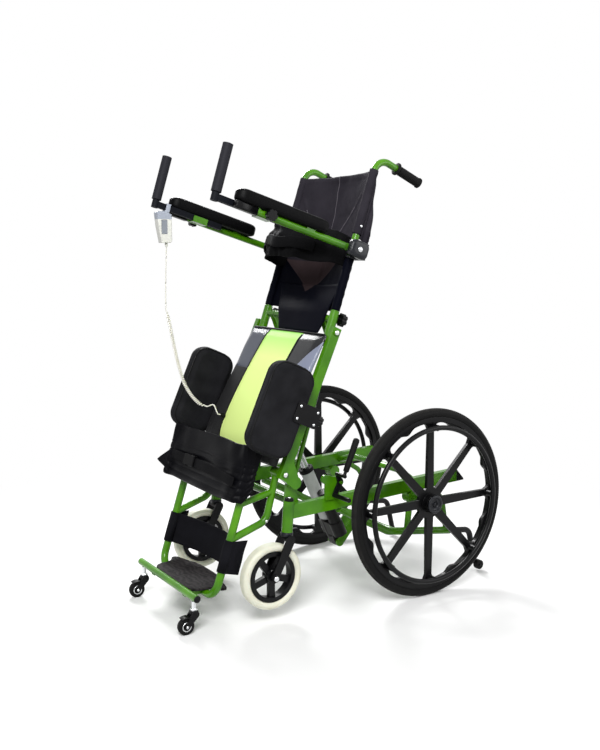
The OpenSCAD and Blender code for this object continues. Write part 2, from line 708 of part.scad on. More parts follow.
// Links that keep the backrest upright as the seat turns
link_d = 14;
link_neck = 28;
link_tang = 40;
link_tang_r = 5;
module back_links() {
    head = back_hinge + link_offset;
    u = unit(head - link_foot);
    color(paint_green) for (s = [-1, 1]) difference() {
        union() {
            plate(s*link_x - link_eye_w/2, s*link_x + link_eye_w/2) {
                arm2d(flat(link_foot), flat(link_foot + u*link_tang), link_eye_r, link_tang_r);
                arm2d(flat(head), flat(head - u*link_tang), link_eye_r, link_tang_r);
            }
            translate([s*link_x, 0, 0]) rod(link_foot + u*link_neck, head - u*link_neck, link_d);
        }
        for (p = [link_foot, head]) xrod(p, s*link_x - link_eye_w, s*link_x + link_eye_w,
            link_pin_d + 2*run_gap);
    }
}

// Back tubes with push handles
tube_low = 20;
handle_bend = 42;
handle_l = 178;
handle_dip = 5;
push_grip_d = 30;
push_grip_from = 78;
push_flange_d = 40;
push_flange_t = 6;
push_end_t = 4;
module handle_axes() { translate([back_x, 0, handle_s]) rotate([-handle_dip, 0, 0]) rotate([-90, 0, 0])
    children(); }
module back_tubes() {
    color(paint_green) on_back() for (m = [0, 1]) mirror([m, 0, 0])
        pipe([[back_x, 0, tube_low], [back_x, 0, handle_s],
            [back_x, handle_l*cos(handle_dip), handle_s - handle_l*sin(handle_dip)]], back_tube_d,
                handle_bend);
}
module push_grips() {
    color(rubber_black) on_back() for (m = [0, 1]) mirror([m, 0, 0]) handle_axes() difference() {
        union() {
            translate([0, 0, push_grip_from]) cylinder(h = handle_l + push_end_t - push_grip_from,
                d = push_grip_d);
            translate([0, 0, push_grip_from]) cylinder(h = push_flange_t, d = push_flange_d);
        }
        translate([0, 0, push_grip_from - cut]) cylinder(h = handle_l - push_grip_from + cut + slide_gap,
            d = back_tube_d + 2*slide_gap);
    }
}

// Back sling: sleeves on the tubes, a panel that sags back between them and a tongue at its foot
sling_t = 5;
sling_wall = 3.5;
sling_low = 69;
sling_top = 520;
sling_sag = 35;
tongue_low = 22;
tongue_w = 224;
block_h = 50;
block_s = [arm_hinge_s - block_h/2, arm_hinge_s + block_h/2];
function sag_r(half, sag) = (half*half + sag*sag)/(2*sag);
// A band bowed towards +Y or, with a negative bow, towards -Y, between two points on its chord
module bowed(half, sag, t) {
    r = sag_r(half, abs(sag));
    translate([0, sag - sign(sag)*r]) intersection() {
        difference() {
            circle(r = r + t/2, $fn = 180);
            circle(r = r - t/2, $fn = 180);
        }
        translate([-half, sag > 0 ? r - abs(sag) - t : -r - t]) square([2*half, abs(sag) + 2*t]);
    }
}
module back_sling() {
    inner = back_tube_d/2 + seat_gap;
    hold = clamp_ring_d/2 + seat_gap;
    color(cloth_black) on_back() difference() {
        union() {
            for (s = [-1, 1]) translate([s*back_x, 0, sling_low]) cylinder(h = sling_top - sling_low,
                r = inner + sling_wall);
            translate([0, 0, sling_low]) linear_extrude(height = sling_top - sling_low) bowed(back_x,
                sling_sag, sling_t);
            translate([0, 0, tongue_low]) linear_extrude(height = sling_low - tongue_low + cut)
                intersection() {
                bowed(back_x, sling_sag, sling_t);
                translate([-tongue_w/2, 0]) square([tongue_w, 2*sling_sag]);
            }
        }
        for (s = [-1, 1]) translate([s*back_x, 0, sling_low - cut]) {
            cylinder(h = sling_top - sling_low + 2*cut, r = inner);
            translate([0, 0, block_s[0] - sling_low - seat_gap + cut])
                linear_extrude(height = block_h + 2*seat_gap)
                translate([s > 0 ? -hold : -2*sleeve_d, -sleeve_d]) square([hold + 2*sleeve_d, 2*sleeve_d]);
        }
    }
}
// Chest belt, hanging slack in front of the sling
belt_half = 168;
belt_slack = 118;
belt_t = 6;
belt_h = 96;
belt_s = 222;
belt_back = 0.5;
module chest_belt() {
    color(cloth_black) on_back() translate([0, belt_back, belt_s]) linear_extrude(height = belt_h)
        bowed(belt_half, -belt_slack, belt_t);
}
// Arm hinge housings clamped on the back tubes, each with a cheek, a bridge and the hinge pin
block_w = 64;
block_r = 12;
cheek_t = 14;
arm_x = 222;
arm_tube_d = 22;
arm_eye_d = 34;
bridge_gap = 3;
bridge_t = 11;
clamp_ring_d = 32;
module arm_blocks() {
    cheek_x = arm_x + arm_tube_d/2 + side_gap;
    eye_back = arm_eye_d/2 - arm_hinge_fore + bridge_gap;
    color(moulded_black) on_back() for (m = [0, 1]) mirror([m, 0, 0]) {
        difference() {
            union() {
                translate([back_x, 0, block_s[0]]) cylinder(h = block_h, d = clamp_ring_d);
                translate([back_x, eye_back, block_s[0]]) cube([cheek_x + cheek_t - back_x, bridge_t,
                    block_h]);
                plate(cheek_x, cheek_x + cheek_t) translate([eye_back + bridge_t - block_w/2, arm_hinge_s])
                    slab(block_w, block_h, block_r);
            }
            translate([back_x, 0, block_s[0] - cut]) cylinder(h = block_h + 2*cut,
                d = back_tube_d + slide_gap);
            xrod([0, -arm_hinge_fore, arm_hinge_s], back_x, cheek_x, arm_eye_d + 2*bridge_gap - 2*side_gap);
        }
        xrod([0, -arm_hinge_fore, arm_hinge_s], arm_x - arm_tube_d/2, cheek_x + cheek_t + bolt_head_t,
            hinge_pin_d);
    }
}

// Arms: a tube on the hinge pin, a square collar beside it for the grip's bar, and seats for the pad
arm_l = 428;
collar_w = 26;
collar_from = 300;
collar_l = 50;
bar_w = 18;
bar_x = 198;
bar_u = 3;
pad_u = 14;
pad_from = 111;
pad_seat_l = 30;
pad_seat_shares = [0.15, 0.75];
arm_pad_t = 36;
arm_pad_x = 215;
module arm_tube() {
    color(paint_green) on_arm() difference() {
        union() {
            xrod([0, 0, 0], arm_x - arm_tube_d/2 + side_gap, arm_x + arm_tube_d/2, arm_eye_d);
            rod([arm_x, 0, 0], [arm_x, -arm_l, 0], arm_tube_d);
            translate([bar_x - collar_w/2, -collar_from - collar_l, bar_u - collar_w/2])
                cube([arm_x - bar_x + collar_w/2, collar_l, collar_w - ear_t]);
            for (k = pad_seat_shares)
                translate([arm_x - arm_tube_d/2, -pad_from - k*arm_pad_l - pad_seat_l, 0])
                cube([arm_tube_d, pad_seat_l, pad_u]);
        }
        xrod([0, 0, 0], arm_x - arm_tube_d, arm_x + arm_tube_d, hinge_pin_d + 2*run_gap);
        translate([bar_x - bar_w/2 - slide_gap, -collar_from - collar_l - cut, bar_u - bar_w/2 - slide_gap])
            cube([bar_w + 2*slide_gap, collar_l + 2*cut, bar_w + 2*slide_gap]);
    }
}
arm_pad_rows = 12;
arm_pad_cols = 16;
function arm_pad_ring(t) = let (e = pow(sin(180*(0.04 + 0.92*t)), 0.35), w = arm_pad_w/2*(0.55 + 0.45*e),
    h = arm_pad_t/2*(0.72 + 0.28*e))
    [for (j = [0 : arm_pad_cols - 1]) let (a = 360*j/arm_pad_cols)
        [arm_pad_x + w*signed_power(cos(a), 0.6), -pad_from - t*arm_pad_l,
            pad_u + seat_gap + h + h*signed_power(sin(a), 0.55)]];
module arm_pad() {
    color(moulded_black) on_arm() loft([for (i = [0 : arm_pad_rows]) arm_pad_ring(i/arm_pad_rows)]);
}
arm_knob_d = 34;
arm_knob_t = 16;
arm_knob_stem = 5;
arm_knob_f = 322;
module arm_knob() {
    color(moulded_black) on_arm() translate([arm_x + arm_tube_d/2 + arm_knob_stem, -arm_knob_f, 0])
        rotate([0, 90, 0])
        star_knob(arm_knob_d, arm_knob_t, arm_knob_stem - seat_gap);
}
// Hand grips: a square bar that slides in the collar, with a foam grip on its post
bar_from = 246;
post_f = 484;
post_d = 22;
foam_low = 14;
foam_end = 4;
module grip_bar() {
    color(moulded_black) on_arm() {
        translate([bar_x - bar_w/2, -post_f, bar_u - bar_w/2]) cube([bar_w, post_f - bar_from, bar_w]);
        translate([bar_x, -post_f, bar_u - bar_w/2 - bar_u]) cylinder(h = post_h - foam_end + bar_w/2,
            d = post_d);
        translate([bar_x, -post_f, bar_u + foam_low]) difference() {
            cylinder(h = post_h - foam_low, d = hand_grip_d);
            translate([0, 0, -cut]) cylinder(h = post_h - foam_low - foam_end + cut,
                d = post_d + 2*slide_gap);
        }
    }
}

// Handset on a clip over the right bar, with a strain relief at its foot and a rocker on its inner face
clip_from = 436;
clip_l = 14;
clip_wall = 3;
handset_t = 24;
handset_f = 458;
handset_taper = 5;
relief_d = 9;
relief_l = 12;
rocker_w = 20;
rocker_h = 44;
rocker_t = 6;
rocker_deep = 5;
rocker_pin_d = 3;
handset_top = arm_hinge + turned([-bar_x, -handset_f, bar_u], arm_rise) - [0, 0,
    bar_w/2 + 2*side_gap + handset_taper];
module handset() {
    w = handset_w/2;
    u = handset_t/2;
    color(case_white) {
        on_arm() translate([-bar_x, -clip_from - clip_l, bar_u]) difference() {
            translate([-bar_w/2 - clip_wall, 0, -bar_w/2 - 2*clip_wall]) cube([bar_w + 2*clip_wall,
                clip_l, bar_w + 3*clip_wall]);
            translate([-bar_w/2 - slide_gap, -cut, -bar_w/2 - slide_gap]) cube([bar_w + 2*slide_gap,
                clip_l + 2*cut, bar_w + 2*slide_gap]);
        }
        difference() {
            translate(handset_top) union() {
                translate([-u, 0, 0]) plate(0, handset_t) polygon([[-w, -handset_taper],
                    [-w + handset_taper, 0], [0, 0],
                    [w, -2*handset_taper], [w, -handset_h + handset_taper], [w - handset_taper, -handset_h],
                    [-w + 3*handset_taper, -handset_h], [-w + handset_taper, -handset_h/2]]);
                translate([0, w - 3*handset_taper, -handset_h - relief_l]) cylinder(h = relief_l,
                    d = relief_d);
            }
            translate(handset_top + [u - rocker_deep, -rocker_w/2, -handset_h/2 - rocker_h/2])
                cube([rocker_deep + cut, rocker_w, rocker_h]);
            translate(handset_top + [u - rocker_deep/2, -rocker_w, -handset_h/2]) rotate([-90, 0, 0])
                cylinder(h = 2*rocker_w, d = rocker_pin_d + 2*run_gap);
        }
    }
}
rocker_tilt_room = 2.2;
module rocker_profile() {
    polygon([[0, -rocker_h/2 + side_gap], [rocker_t - rocker_tilt_room, -rocker_h/2 + side_gap],
        [rocker_t - rocker_tilt_room - side_gap, 0],
        [rocker_t - rocker_tilt_room, rocker_h/2 - side_gap], [0, rocker_h/2 - side_gap], [-side_gap, 0]]);
}
module handset_rocker() {
    u = handset_t/2;
    color(steel_grey) translate(handset_top + [u - rocker_deep + rocker_tilt_room, 0, -handset_h/2]) {
        translate([0, rocker_w/2 - side_gap, 0]) rotate([90, 0, 0])
            linear_extrude(height = rocker_w - 2*side_gap) rocker_profile();
        translate([rocker_deep/2 - rocker_tilt_room, -rocker_w + side_gap, 0]) rotate([-90, 0, 0])
            cylinder(h = 2*rocker_w - 2*side_gap, d = rocker_pin_d);
    }
}

// Leg rest: a U of tube with a bent brace on each side up to the knee joint
leg_bend = 45;
brace_d = 22;
brace_corner = [528.8, 296.9];
brace_end = [646, 259.4];
brace_bend = 45;
tie_d = 20;
tie_from = [505, 384];
tie_to = [613, 361];
knee_eye_d = 32;
knee_eye_gap = 4;
leg_x = leg_span/2;
function leg_at(x, p) = at(x, p[0], p[1]);
module leg_frame() {
    color(paint_green) difference() {
        union() {
            pipe([leg_at(leg_x, leg_top), leg_at(leg_x, leg_foot), leg_at(-leg_x, leg_foot),
                leg_at(-leg_x, leg_top)], leg_tube_d, leg_bend);
            for (s = [-1, 1]) {
                pipe([knee + [s*leg_x, 0, 0], leg_at(s*leg_x, brace_corner), leg_at(s*leg_x, brace_end)],
                    brace_d, brace_bend);
                rod(leg_at(s*leg_x, tie_from), leg_at(s*leg_x, tie_to), tie_d);
            }
            for (m = [0, 1]) mirror([m, 0, 0])
                xrod(knee, leg_x - leg_tube_d/2, seat_rail_x - seat_rail_w/2 - knee_eye_gap, knee_eye_d);
        }
        xrod(knee, -rail_span/2, rail_span/2, pivot_pin_d + 2*run_gap);
    }
}
// Bar across the footrest that carries its casters
bar_up = 106.5;
bar_half = 200;
bar_d = 22;
strut_x = 110;
strut_w = 20;
strut_t = 13;
strut_drop = 4;
foot_stem_x = 178;
foot_stem_d = 10;
module caster_bar() {
    bar = at(0, bar_ahead, bar_up);
    color(paint_green) difference() {
        union() {
            xrod(bar, -bar_half, bar_half, bar_d);
            for (s = [-1, 1]) translate(at(s*strut_x - strut_w/2, bar_ahead, leg_foot[1] - strut_drop))
                cube([strut_w, bar_ahead - leg_foot[0] - leg_tube_d/2 - seat_gap, strut_t]);
        }
        for (s = [-1, 1]) translate(bar + [s*foot_stem_x, 0, -bar_d]) cylinder(h = bar_d + bar_d/4,
            d = foot_stem_d + 2*run_gap);
    }
}
// Ribbed footplate on the U's foot
footplate_side = 41;
footplate_w = leg_span - 2*footplate_side;
footplate_t = 6.5;
footplate_back = 629;
footplate_r = 40;
rib_w = 3;
rib_h = 1.5;
rib_n = 11;
module footplate() {
    up = leg_foot[1] + leg_tube_d/2 + seat_gap;
    front = bar_ahead - bar_d/2 - seat_gap;
    l = front - footplate_back;
    color(rubber_black) translate(at(0, footplate_back + l/2, up)) {
        linear_extrude(height = footplate_t) slab(footplate_w, l, footplate_r);
        for (i = [1 : rib_n]) translate([-footplate_w/2 + footplate_r, -l/2 + i*l/(rib_n + 1) - rib_w/2,
            footplate_t - rib_h])
            cube([footplate_w - 2*footplate_r, rib_w, 2*rib_h]);
    }
}
// Calf panel, a cloth band sewn round the leg tubes
calf_low = -334;
calf_h = 90;
calf_sag = 45;
calf_t = 4;
module calf_panel() {
    inner = leg_tube_d/2 + seat_gap;
    color(cloth_black) on_leg() translate([0, -leg_fore, calf_low]) linear_extrude(height = calf_h)
        difference() {
        union() {
            bowed(leg_x, calf_sag, calf_t);
            for (s = [-1, 1]) translate([s*leg_x, 0]) circle(r = inner + calf_t);
        }
        for (s = [-1, 1]) translate([s*leg_x, 0]) circle(r = inner);
    }
}
// Knee belt, a padded band ahead of the knees with its ends sewn round the leg tubes
knee_low = -112;
knee_h = 187;
knee_half = 205;
knee_fore = 30;
knee_bow = 40;
knee_t = 9;
knee_wrap = 38;
knee_wrap_low = -98;
module knee_belt() {
    inner = leg_tube_d/2 + seat_gap;
    color(cloth_black) on_leg() {
        translate([0, -leg_fore - knee_fore, knee_low]) linear_extrude(height = knee_h)
            bowed(knee_half, -knee_bow, knee_t);
        translate([0, -leg_fore, knee_wrap_low]) linear_extrude(height = knee_wrap) difference() {
            for (s = [-1, 1]) {
                translate([s*leg_x, 0]) circle(r = inner + calf_t);
                arm2d([s*leg_x, -inner], [s*(knee_half - knee_t/2), -knee_fore], calf_t, calf_t);
            }
            for (s = [-1, 1]) translate([s*leg_x, 0]) circle(r = inner);
        }
    }
}
// Footrest casters: a hooded fork on a stem, and a wheel
foot_hub = at(foot_stem_x, bar_ahead + foot_trail, foot_wheel_d/2);
foot_fork_t = 3;
foot_pin_d = 6;
foot_stem_up = 70;
module foot_caster_fork() {
    half = foot_wheel_w/2 + side_gap;
    stem = at(foot_stem_x, bar_ahead, foot_stem_up);
    color(moulded_black) {
        translate(stem) cylinder(h = bar_up - foot_stem_up, d = foot_stem_d);
        translate(stem - [0, 0, hood_wall]) cylinder(h = 2*hood_wall, d = 2*foot_stem_d);
        difference() {
            union() {
                xrod(foot_hub, foot_stem_x - half - foot_fork_t, foot_stem_x + half + foot_fork_t,
                    foot_wheel_d + 2*hood_wall + 2*side_gap);
                plate(foot_stem_x - half - foot_fork_t, foot_stem_x + half + foot_fork_t)
                    arm2d(flat(stem), flat(foot_hub), foot_stem_d, foot_wheel_d/4);
            }
            xrod(foot_hub, foot_stem_x - half, foot_stem_x + half, foot_wheel_d + 4*side_gap);
            translate([0, foot_hub[1] - foot_wheel_d, -foot_wheel_d + foot_hub[2] - foot_pin_d])
                cube([2*rail_span, 2*foot_wheel_d, foot_wheel_d]);
        }
        xrod(foot_hub, foot_stem_x - half - foot_fork_t, foot_stem_x + half + foot_fork_t, foot_pin_d);
    }
}
module foot_caster_wheel() {
    color(rubber_black) difference() {
        xrod(foot_hub, foot_stem_x - foot_wheel_w/2, foot_stem_x + foot_wheel_w/2, foot_wheel_d);
        xrod(foot_hub, foot_stem_x - foot_wheel_w, foot_stem_x + foot_wheel_w, foot_pin_d + 2*run_gap);
    }
}

// Lift actuator: a barrel with its gear motor, pinned at its foot, and a rod pinned under the seat
barrel_d = 44;
barrel_bore = 28;
barrel_l = 296;
barrel_from = 30;
bore_from = 22;
gear_from = 42;
collar_d = 48;
collar_t = 10;
motor_d = 46;
motor_l = 120;
motor_x = 50;
gear_w = 52;
gear_h = 42;
rod_d = 25;
rod_l = 290;
lift_top = knee + turned(lift_head, seat_lean);
lift_l = norm(lift_top - lift_foot);
lift_angle = atan2(lift_foot[1] - lift_top[1], lift_top[2] - lift_foot[2]);
module on_lift() { translate(lift_foot) rotate([lift_angle, 0, 0]) children(); }
module actuator_barrel() {
    color(steel_grey) on_lift() {
        difference() {
            union() {
                xrod([0, 0, 0], -lift_eye_w/2, lift_eye_w/2, 2*lift_foot_r);
                translate([-lift_eye_w/2, -lift_foot_r, 0]) cube([lift_eye_w, 2*lift_foot_r,
                    barrel_from + cut]);
                translate([0, 0, barrel_from]) cylinder(h = barrel_l - barrel_from, d = barrel_d);
                translate([0, 0, barrel_l - collar_t]) cylinder(h = collar_t, d = collar_d);
                translate([-barrel_d/2, -gear_h/2, gear_from]) cube([motor_x + barrel_d/2, gear_h, gear_w]);
            }
            xrod([0, 0, 0], -lift_eye_w, lift_eye_w, pivot_pin_d + 2*run_gap);
            translate([0, 0, bore_from]) cylinder(h = barrel_l, d = barrel_bore);
        }
        translate([motor_x, 0, gear_from + gear_w]) cylinder(h = motor_l, d = motor_d - ear_t);
        translate([motor_x, 0, gear_from]) cylinder(h = gear_w, d = motor_d);
    }
}
module actuator_rod() {
    color(steel_grey) on_lift() {
        xrod([0, 0, lift_l], -lift_head_w/2, lift_head_w/2, 2*lift_head_r);
        translate([0, 0, lift_l - rod_l]) cylinder(h = rod_l - lift_head_r/2, d = rod_d);
    }
}

// Handset cord: a straight lead, then curls along a slack route to the gland
cord_d = 4;
cord_sides = 6;
curl_d = 12;
curl_n = 60;
curl_rings = 8;
tail_l = 12;
lead_top = handset_top + [0, handset_w/2 - 3*handset_taper, -handset_h - relief_l - seat_gap];
gland_mouth = knee + turned([gland_x, -gland_n - gland_proud, gland_s], seat_lean);
lead_route = [lead_top, at(-199, 663, 1080), at(-200, 666, 1000), at(-200, 667, 935)];
curl_route = [at(-200, 667, 923), at(-196, 656, 868), at(-190, 646, 804), at(-182, 637, 749), at(-170,
    625, 691),
    at(-160, 613, 659), at(-148, 597, 631), at(-136, 580, 613), at(-124, 562, 606)];
tail_route = [at(-112, 546, 611), gland_mouth + turned([0, -tail_l, 0], seat_lean), gland_mouth];
function along(p, t) = let (i = min(len(p) - 2, max(0, floor(t))), f = t - i,
    b = p[i], c = p[i + 1], a = i == 0 ? 2*b - c : p[i - 1], d = i == len(p) - 2 ? 2*c - b : p[i + 2])
    (2*b + (c - a)*f + (2*a - 5*b + 4*c - d)*f*f + (3*b - a - 3*c + d)*f*f*f)/2;
// The curls are spread evenly over the route's length
function run_to(p, i) = i == 0 ? 0 : run_to(p, i - 1) + norm(p[i] - p[i - 1]);
curl_runs = [for (i = [0 : len(curl_route) - 1]) run_to(curl_route, i)];
function curl_axis(t) = let (x = t*curl_runs[len(curl_runs) - 1],
    i = max([0, for (k = [0 : len(curl_runs) - 2]) if (curl_runs[k] <= x) k]))
    along(curl_route, i + (x - curl_runs[i])/(curl_runs[i + 1] - curl_runs[i]));
step_share = 0.001;
function curl_point(i) = let (t = i/(curl_n*curl_rings), c = curl_axis(t),
    u = unit(curl_axis(min(1, t + step_share)) - curl_axis(max(0, t - step_share))),
    s = unit(cross(u, [0, 1, 0])), q = cross(s, u), r = (curl_d - cord_d)/2*min(1, 12*t, 12*(1 - t)),
        a = 360*i/curl_rings)
    c + r*(s*cos(a) + q*sin(a));
cord_path = concat(lead_route, [for (i = [0 : curl_n*curl_rings]) curl_point(i)], tail_route);
function cord_ring(p, i) = let (u = unit(p[min(len(p) - 1, i + 1)] - p[max(0, i - 1)]),
    s = unit(cross(u, [0.36, 0.93, 0.07])), q = cross(s, u))
    [for (j = [0 : cord_sides - 1]) p[i] + cord_d/2*(s*cos(360*j/cord_sides) + q*sin(360*j/cord_sides))];
cord_gap = min([for (i = [0 : curl_n*curl_rings - 2*curl_rings]) for (k = [-1 : 1])
    norm(curl_point(i) - curl_point(i + curl_rings + k))]) - cord_d;
echo(least_gap_between_curls = cord_gap);
module handset_cord() {
    color(case_white) loft([for (i = [0 : len(cord_path) - 1]) cord_ring(cord_path, i)]);
}

side_frame();  // side_frame_l
right() side_frame();  // side_frame_r
cross_tubes();
antitip_tubes();
rail_end_caps();
seat_rails();
seat_cross_tubes();
seat_cushion();
control_box();
cord_gland();
thigh_bracket();  // thigh_bracket_l
right() thigh_bracket();  // thigh_bracket_r
thigh_pad();  // thigh_pad_l
right() thigh_pad();  // thigh_pad_r
thigh_knob();  // thigh_knob_l
right() thigh_knob();  // thigh_knob_r
back_sleeves();
height_knob();  // height_knob_l
right() height_knob();  // height_knob_r
back_tubes();
push_grips();
back_sling();
chest_belt();
arm_blocks();
arm_tube();  // arm_tube_l
right() arm_tube();  // arm_tube_r
arm_pad();  // arm_pad_l
right() arm_pad();  // arm_pad_r
arm_knob();  // arm_knob_l
right() arm_knob();  // arm_knob_r
grip_bar();  // grip_bar_l
right() grip_bar();  // grip_bar_r
handset();
handset_rocker();
leg_frame();
caster_bar();
footplate();
calf_panel();
knee_belt();
foot_caster_fork();  // foot_caster_fork_l
right() foot_caster_fork();  // foot_caster_fork_r
foot_caster_wheel();  // foot_caster_wheel_l
right() foot_caster_wheel();  // foot_caster_wheel_r
caster_fork();  // caster_fork_l
right() caster_fork();  // caster_fork_r
caster_rim();  // caster_rim_l
right() caster_rim();  // caster_rim_r
caster_tyre();  // caster_tyre_l
right() caster_tyre();  // caster_tyre_r
rear_rim();  // rear_rim_l
right() rear_rim();  // rear_rim_r
rear_tyre();  // rear_tyre_l
right() rear_tyre();  // rear_tyre_r
antitip_wheels();
brake_lever();  // brake_lever_l
right() brake_lever();  // brake_lever_r
actuator_barrel();
actuator_rod();
back_links();
handset_cord();
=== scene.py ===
import bpy
import math
from mathutils import Matrix, Vector, noise
from mathutils.bvhtree import BVHTree


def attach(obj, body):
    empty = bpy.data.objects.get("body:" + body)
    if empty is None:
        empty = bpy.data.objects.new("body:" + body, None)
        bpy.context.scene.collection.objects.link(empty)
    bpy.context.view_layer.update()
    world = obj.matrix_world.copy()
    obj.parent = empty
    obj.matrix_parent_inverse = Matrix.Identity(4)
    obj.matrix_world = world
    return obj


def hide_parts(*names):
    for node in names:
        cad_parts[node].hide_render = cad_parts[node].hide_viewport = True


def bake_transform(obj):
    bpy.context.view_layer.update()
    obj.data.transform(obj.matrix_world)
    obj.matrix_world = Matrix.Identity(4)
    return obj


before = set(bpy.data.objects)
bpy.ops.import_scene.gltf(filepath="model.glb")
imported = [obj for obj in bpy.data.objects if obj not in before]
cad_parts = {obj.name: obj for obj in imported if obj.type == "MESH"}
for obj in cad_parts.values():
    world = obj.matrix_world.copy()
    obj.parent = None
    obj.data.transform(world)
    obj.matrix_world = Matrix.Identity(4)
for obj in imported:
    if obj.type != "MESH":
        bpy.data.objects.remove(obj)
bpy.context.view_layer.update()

# Camera. The photograph was taken from ahead of the chair's left side, a little above the seat,
# with a lens of normal length. Position and direction were solved from the wheels and casters.
scene = bpy.context.scene
scene.view_settings.view_transform = "Standard"
lens = bpy.data.cameras.new("camera")
lens.sensor_width = 36
lens.lens = 43.675
camera = bpy.data.objects.new("camera", lens)
scene.collection.objects.link(camera)
look = Vector((-0.8308, 0.5423, -0.1260)).normalized()
right = look.cross(Vector((0, 0, 1))).normalized()
facing = Matrix((right, right.cross(look), -look)).transposed().to_4x4()
camera.matrix_world = Matrix.Translation((2.4655, -1.64145, 1.0763)) @ facing
scene.camera = camera


# Studio. A pale floor that runs out into white, and three soft lamps: a broad key from the upper
# front, a fill from the chair's left and a lamp behind that draws the tubes' edges.
def linear(code):
    """An sRGB hex colour as the linear values that a shader takes."""
    parts = [int(code[i:i + 2], 16) / 255 for i in (1, 3, 5)]
    return [v / 12.92 if v <= 0.04045 else ((v + 0.055) / 1.055) ** 2.4 for v in parts] + [1.0]


def plug(made, links):
    """Gives each named input of a node its value, or the node or socket that feeds it."""
    for key, value in links.items():
        if isinstance(value, bpy.types.Node):
            value = next(out for out in value.outputs if out.enabled)
        if isinstance(value, bpy.types.NodeSocket):
            made.id_data.links.new(value, made.inputs[key])
        else:
            made.inputs[key].default_value = value


def add_node(tree, kind, links, stops=(), **settings):
    """A shader node with its settings, its links and, for a ramp, its two stops."""
    made = tree.nodes.new("ShaderNode" + kind)
    for key, value in settings.items():
        setattr(made, key, value)
    for i, (position, code) in enumerate(stops):
        made.color_ramp.elements[i].position, made.color_ramp.elements[i].color = position, linear(code)
    plug(made, links)
    return made


def white_backdrop(tree):
    """1 where the camera, a reflection or a see-through ray looks, 0 for light that falls on the chair."""
    rays = add_node(tree, "LightPath", {}).outputs
    seen = add_node(tree, "Math", {0: rays["Is Camera Ray"], 1: rays["Is Glossy Ray"]}, operation="MAXIMUM")
    return add_node(tree, "Math", {0: seen, 1: rays["Is Transmission Ray"]}, operation="MAXIMUM")


sky = bpy.data.worlds.new("white_sweep")
sky.use_nodes = True
tree = sky.node_tree
tree.nodes.clear()
level = add_node(tree, "Math", {0: white_backdrop(tree), 1: 0.69, 2: 0.31}, operation="MULTIPLY_ADD")
sky_light = add_node(tree, "Background", {"Color": linear("#FFFFFF"), "Strength": level})
add_node(tree, "OutputWorld", {"Surface": sky_light})
scene.world = sky

for name, place, aim, size, watts in (("key", (2.6, -2.2, 3.2), (0, -0.1, 0.7), 1.8, 172),
                                      ("fill", (2.2, 2.0, 1.6), (0, 0.1, 0.6), 1.6, 22),
                                      ("edge", (-2.4, 0.6, 2.6), (0, 0, 0.7), 1.2, 125)):
    lamp = bpy.data.lights.new(name, "AREA")
    lamp.size, lamp.energy = size, watts
    stand = bpy.data.objects.new(name, lamp)
    facing = (Vector(aim) - Vector(place)).to_track_quat("-Z", "Y").to_matrix().to_4x4()
    stand.matrix_world = Matrix.Translation(place) @ facing
    scene.collection.objects.link(stand)

floor_half = 40
floor_mesh = bpy.data.meshes.new("floor")
floor_mesh.from_pydata([(u * floor_half, v * floor_half, 0) for u, v in ((-1, -1), (1, -1), (1, 1), (-1, 1))],
                       [], [(0, 1, 2, 3)])
floor = bpy.data.objects.new("floor", floor_mesh)
scene.collection.objects.link(floor)
floor_paint = bpy.data.materials.new("matt_white_sweep")
floor_paint.use_nodes = True
tree = floor_paint.node_tree
tree.nodes.clear()
ground = add_node(tree, "TexCoord", {}).outputs["Object"]
away = add_node(tree, "VectorMath", {0: ground}, operation="LENGTH")
fade = add_node(tree, "MapRange", {"Value": away, "From Min": 0.6, "From Max": 1.9},
                interpolation_type="SMOOTHSTEP")
matt = add_node(tree, "BsdfDiffuse", {"Color": linear("#EBEBEB")})
glow = add_node(tree, "Emission", {"Color": linear("#FFFFFF"), "Strength": white_backdrop(tree)})
faint = add_node(tree, "Math", {0: white_backdrop(tree), 1: 0.07}, operation="MULTIPLY")
lift = add_node(tree, "Emission", {"Color": linear("#FFFFFF"), "Strength": faint})
near = add_node(tree, "AddShader", {0: matt, 1: lift})
mixed = add_node(tree, "MixShader", {0: fade, 1: near, 2: glow})
add_node(tree, "OutputMaterial", {"Surface": mixed})
floor_mesh.materials.append(floor_paint)


# Handset cord. A thin white PVC lead hangs straight from the handset, then runs in tight curls down
# to a gland in the cushion's seam. It is drawn in four lengths, cut at the backrest's joints.
def finish(name, sockets):
    """A material with one Principled shader: it, its tree, that shader and the piece's own coordinates."""
    made = bpy.data.materials.new(name)
    made.use_nodes = True
    tree = made.node_tree
    tree.nodes.clear()
    shader = add_node(tree, "BsdfPrincipled", sockets)
    add_node(tree, "OutputMaterial", {"Surface": shader})
    return made, tree, shader, add_node(tree, "TexCoord", {}).outputs["Object"]


def skin(rings, closed=True):
    """Points and faces over rings that have the same number of points, closed by a face at each end."""
    n, last = len(rings[0]), (len(rings) - 1) * len(rings[0])
    faces = [(i * n + j, i * n + (j + 1) % n, (i + 1) * n + (j + 1) % n, (i + 1) * n + j)
             for i in range(len(rings) - 1) for j in range(n)]
    ends = [tuple(range(n - 1, -1, -1)), tuple(range(last, last + n))]
    return [Vector(p) for ring in rings for p in ring], faces + (ends if closed else [])


def round_skin(rings):
    """A skin whose last ring is joined to the first."""
    points, faces = skin(rings, closed=False)
    n, last = len(rings[0]), (len(rings) - 1) * len(rings[0])
    return points, faces + [(last + j, last + (j + 1) % n, (j + 1) % n, j) for j in range(n)]


def circle(count):
    """Angles spread evenly over one turn."""
    return [2 * math.pi * k / count for k in range(count)]


